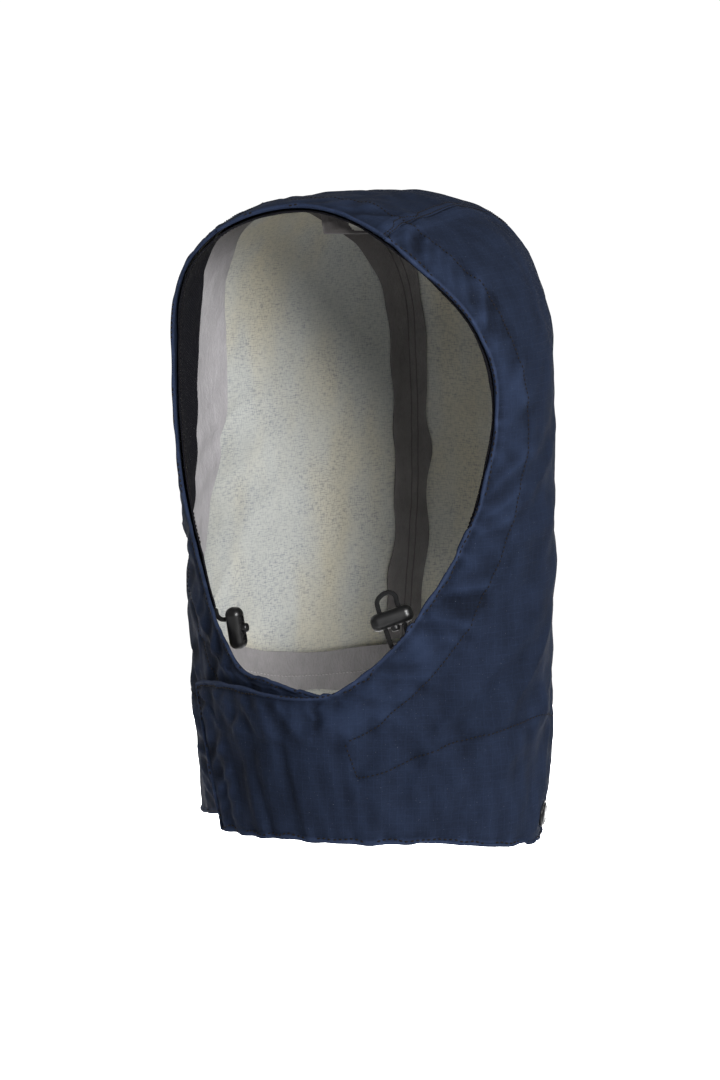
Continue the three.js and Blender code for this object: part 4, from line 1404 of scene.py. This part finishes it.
def lock_body(name, lock):
    deselect_all()
    bpy.ops.mesh.primitive_cube_add(size=1)
    body = bpy.context.object
    body.name = f"{name}_lock_body"
    body.scale = (LOCK_LONG, LOCK_WIDE, LOCK_DEEP)
    apply_place(body)
    upright = lambda a, b: abs(a.x - b.x) < 1e-6 and abs(a.y - b.y) < 1e-6
    bevel_edges(body, upright, LOCK_WIDE * 0.47, 10)
    level = lambda a, b: abs(a.z - b.z) < 1e-6
    bevel_edges(body, level, LOCK_DEEP * 0.4, 7)
    hole = CORD_THICK / 2 * MM + FIT
    tools = [cylinder(hole, -LOCK_DEEP, LOCK_DEEP, s * LOCK_HOLE_SPACING / 2, 24) for s in (-1, 1)]
    tools.append(cylinder(BUTTON_WIDE / 2 + FIT, -LOCK_DEEP, POCKET_DEEP - LOCK_DEEP / 2))
    cut_with(body, tools)
    body.matrix_world = lock_frame(lock)
    apply_place(body)
    shade(body, PLASTIC, 40)
    apply_modifier(body, "WEIGHTED_NORMAL", keep_sharp=True)
    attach(body, "root")
    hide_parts(f"{name}_cord_lock")


def lock_button(name, lock):
    face = -LOCK_DEEP / 2 - BUTTON_PROUD
    inner = POCKET_DEEP - LOCK_DEEP / 2 - FIT - BUTTON_TRAVEL
    button = cylinder(BUTTON_WIDE / 2, face, inner)
    button.name = f"{name}_push_button"
    outer_rim = lambda a, b: abs(a.z - b.z) < 1e-6 and a.z < (face + inner) / 2
    bevel_edges(button, outer_rim, 1.5 * MM, 6)
    button.matrix_world = lock_frame(lock)
    apply_place(button)
    shade(button, PLASTIC, 40)
    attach(button, f"{name}_button")
    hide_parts(f"{name}_lock_button")


for name, lock in LOCKS.items():
    lock_body(name, lock)
    lock_button(name, lock)


# Press studs
def stud_frame(node):
    """Where a stud sits: its middle on the cloth and the way out of it, from its CAD solid."""
    points = [v.co.copy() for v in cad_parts[node].data.vertices]
    middle = sum(points, Vector()) / len(points)
    spot, normal = plain.nearest(middle)
    side = 1 if middle.x > 0 else -1
    low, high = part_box(node)
    centred = (Vector(low) + Vector(high)) / 2
    values = np.array([tuple(p - centred) for p in points])
    _, _, ways = np.linalg.svd(values - values.mean(axis=0))
    out = Vector(ways[2])
    if out.x * side < 0:
        out = -out
    heights = [p.dot(out) for p in points]
    across = [p - out * p.dot(out) for p in points]
    middle = sum(across, Vector()) / len(across)
    top = max(heights)
    base = middle + out * (top - STUD_SEAT - STUD_CAP)
    turn = Vector((0, 0, 1)).rotation_difference(out).to_matrix().to_4x4()
    return Matrix.Translation(base) @ turn


def top_face(piece):
    return max(piece.data.polygons, key=lambda f: f.center.z + f.normal.z * 0.001).index


def press_stud(name):
    cap = cylinder(STUD_WIDE / 2, STUD_SEAT, STUD_SEAT + STUD_CAP * 0.62, sides=56)
    take(cap)
    steps = (
        (1.1 * MM, 0.0), (0.25 * MM, STUD_CAP * 0.22), (1.2 * MM, STUD_CAP * 0.1), (0.5 * MM, -0.25 * MM),
        (0.3 * MM, -0.12 * MM), (0.5 * MM, 0.2 * MM), (1.6 * MM, STUD_CAP * 0.07),
    )
    bpy.ops.object.mode_set(mode="EDIT")
    bpy.ops.mesh.select_mode(type="FACE")
    bpy.ops.mesh.select_all(action="DESELECT")
    bpy.ops.object.mode_set(mode="OBJECT")
    cap.data.polygons[top_face(cap)].select = True
    bpy.ops.object.mode_set(mode="EDIT")
    for inset, rise in steps:
        bpy.ops.mesh.inset(thickness=inset, depth=rise)
    bpy.ops.object.mode_set(mode="OBJECT")
    apply_modifier(cap, "BEVEL", width=0.45 * MM, segments=3, limit_method="ANGLE", angle_limit=math.radians(50))
    low = -CLOTH - SOCKET_GAP
    shank = cylinder(STUD_SHANK / 2, low - 0.5 * MM, STUD_SEAT + 0.3 * MM, sides=24)
    socket = cylinder(SOCKET_WIDE / 2, low - SOCKET_HIGH, low, sides=48)
    apply_modifier(socket, "BEVEL", width=0.4 * MM, segments=3, limit_method="ANGLE", angle_limit=math.radians(50))
    stud = join(f"{name}_stud", [cap, shank, socket])
    stud.matrix_world = stud_frame(f"{name}_press_stud")
    apply_place(stud)
    shade(stud, LACQUER, 35)
    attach(stud, "root")
    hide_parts(f"{name}_press_stud")


press_stud("left")
press_stud("right")
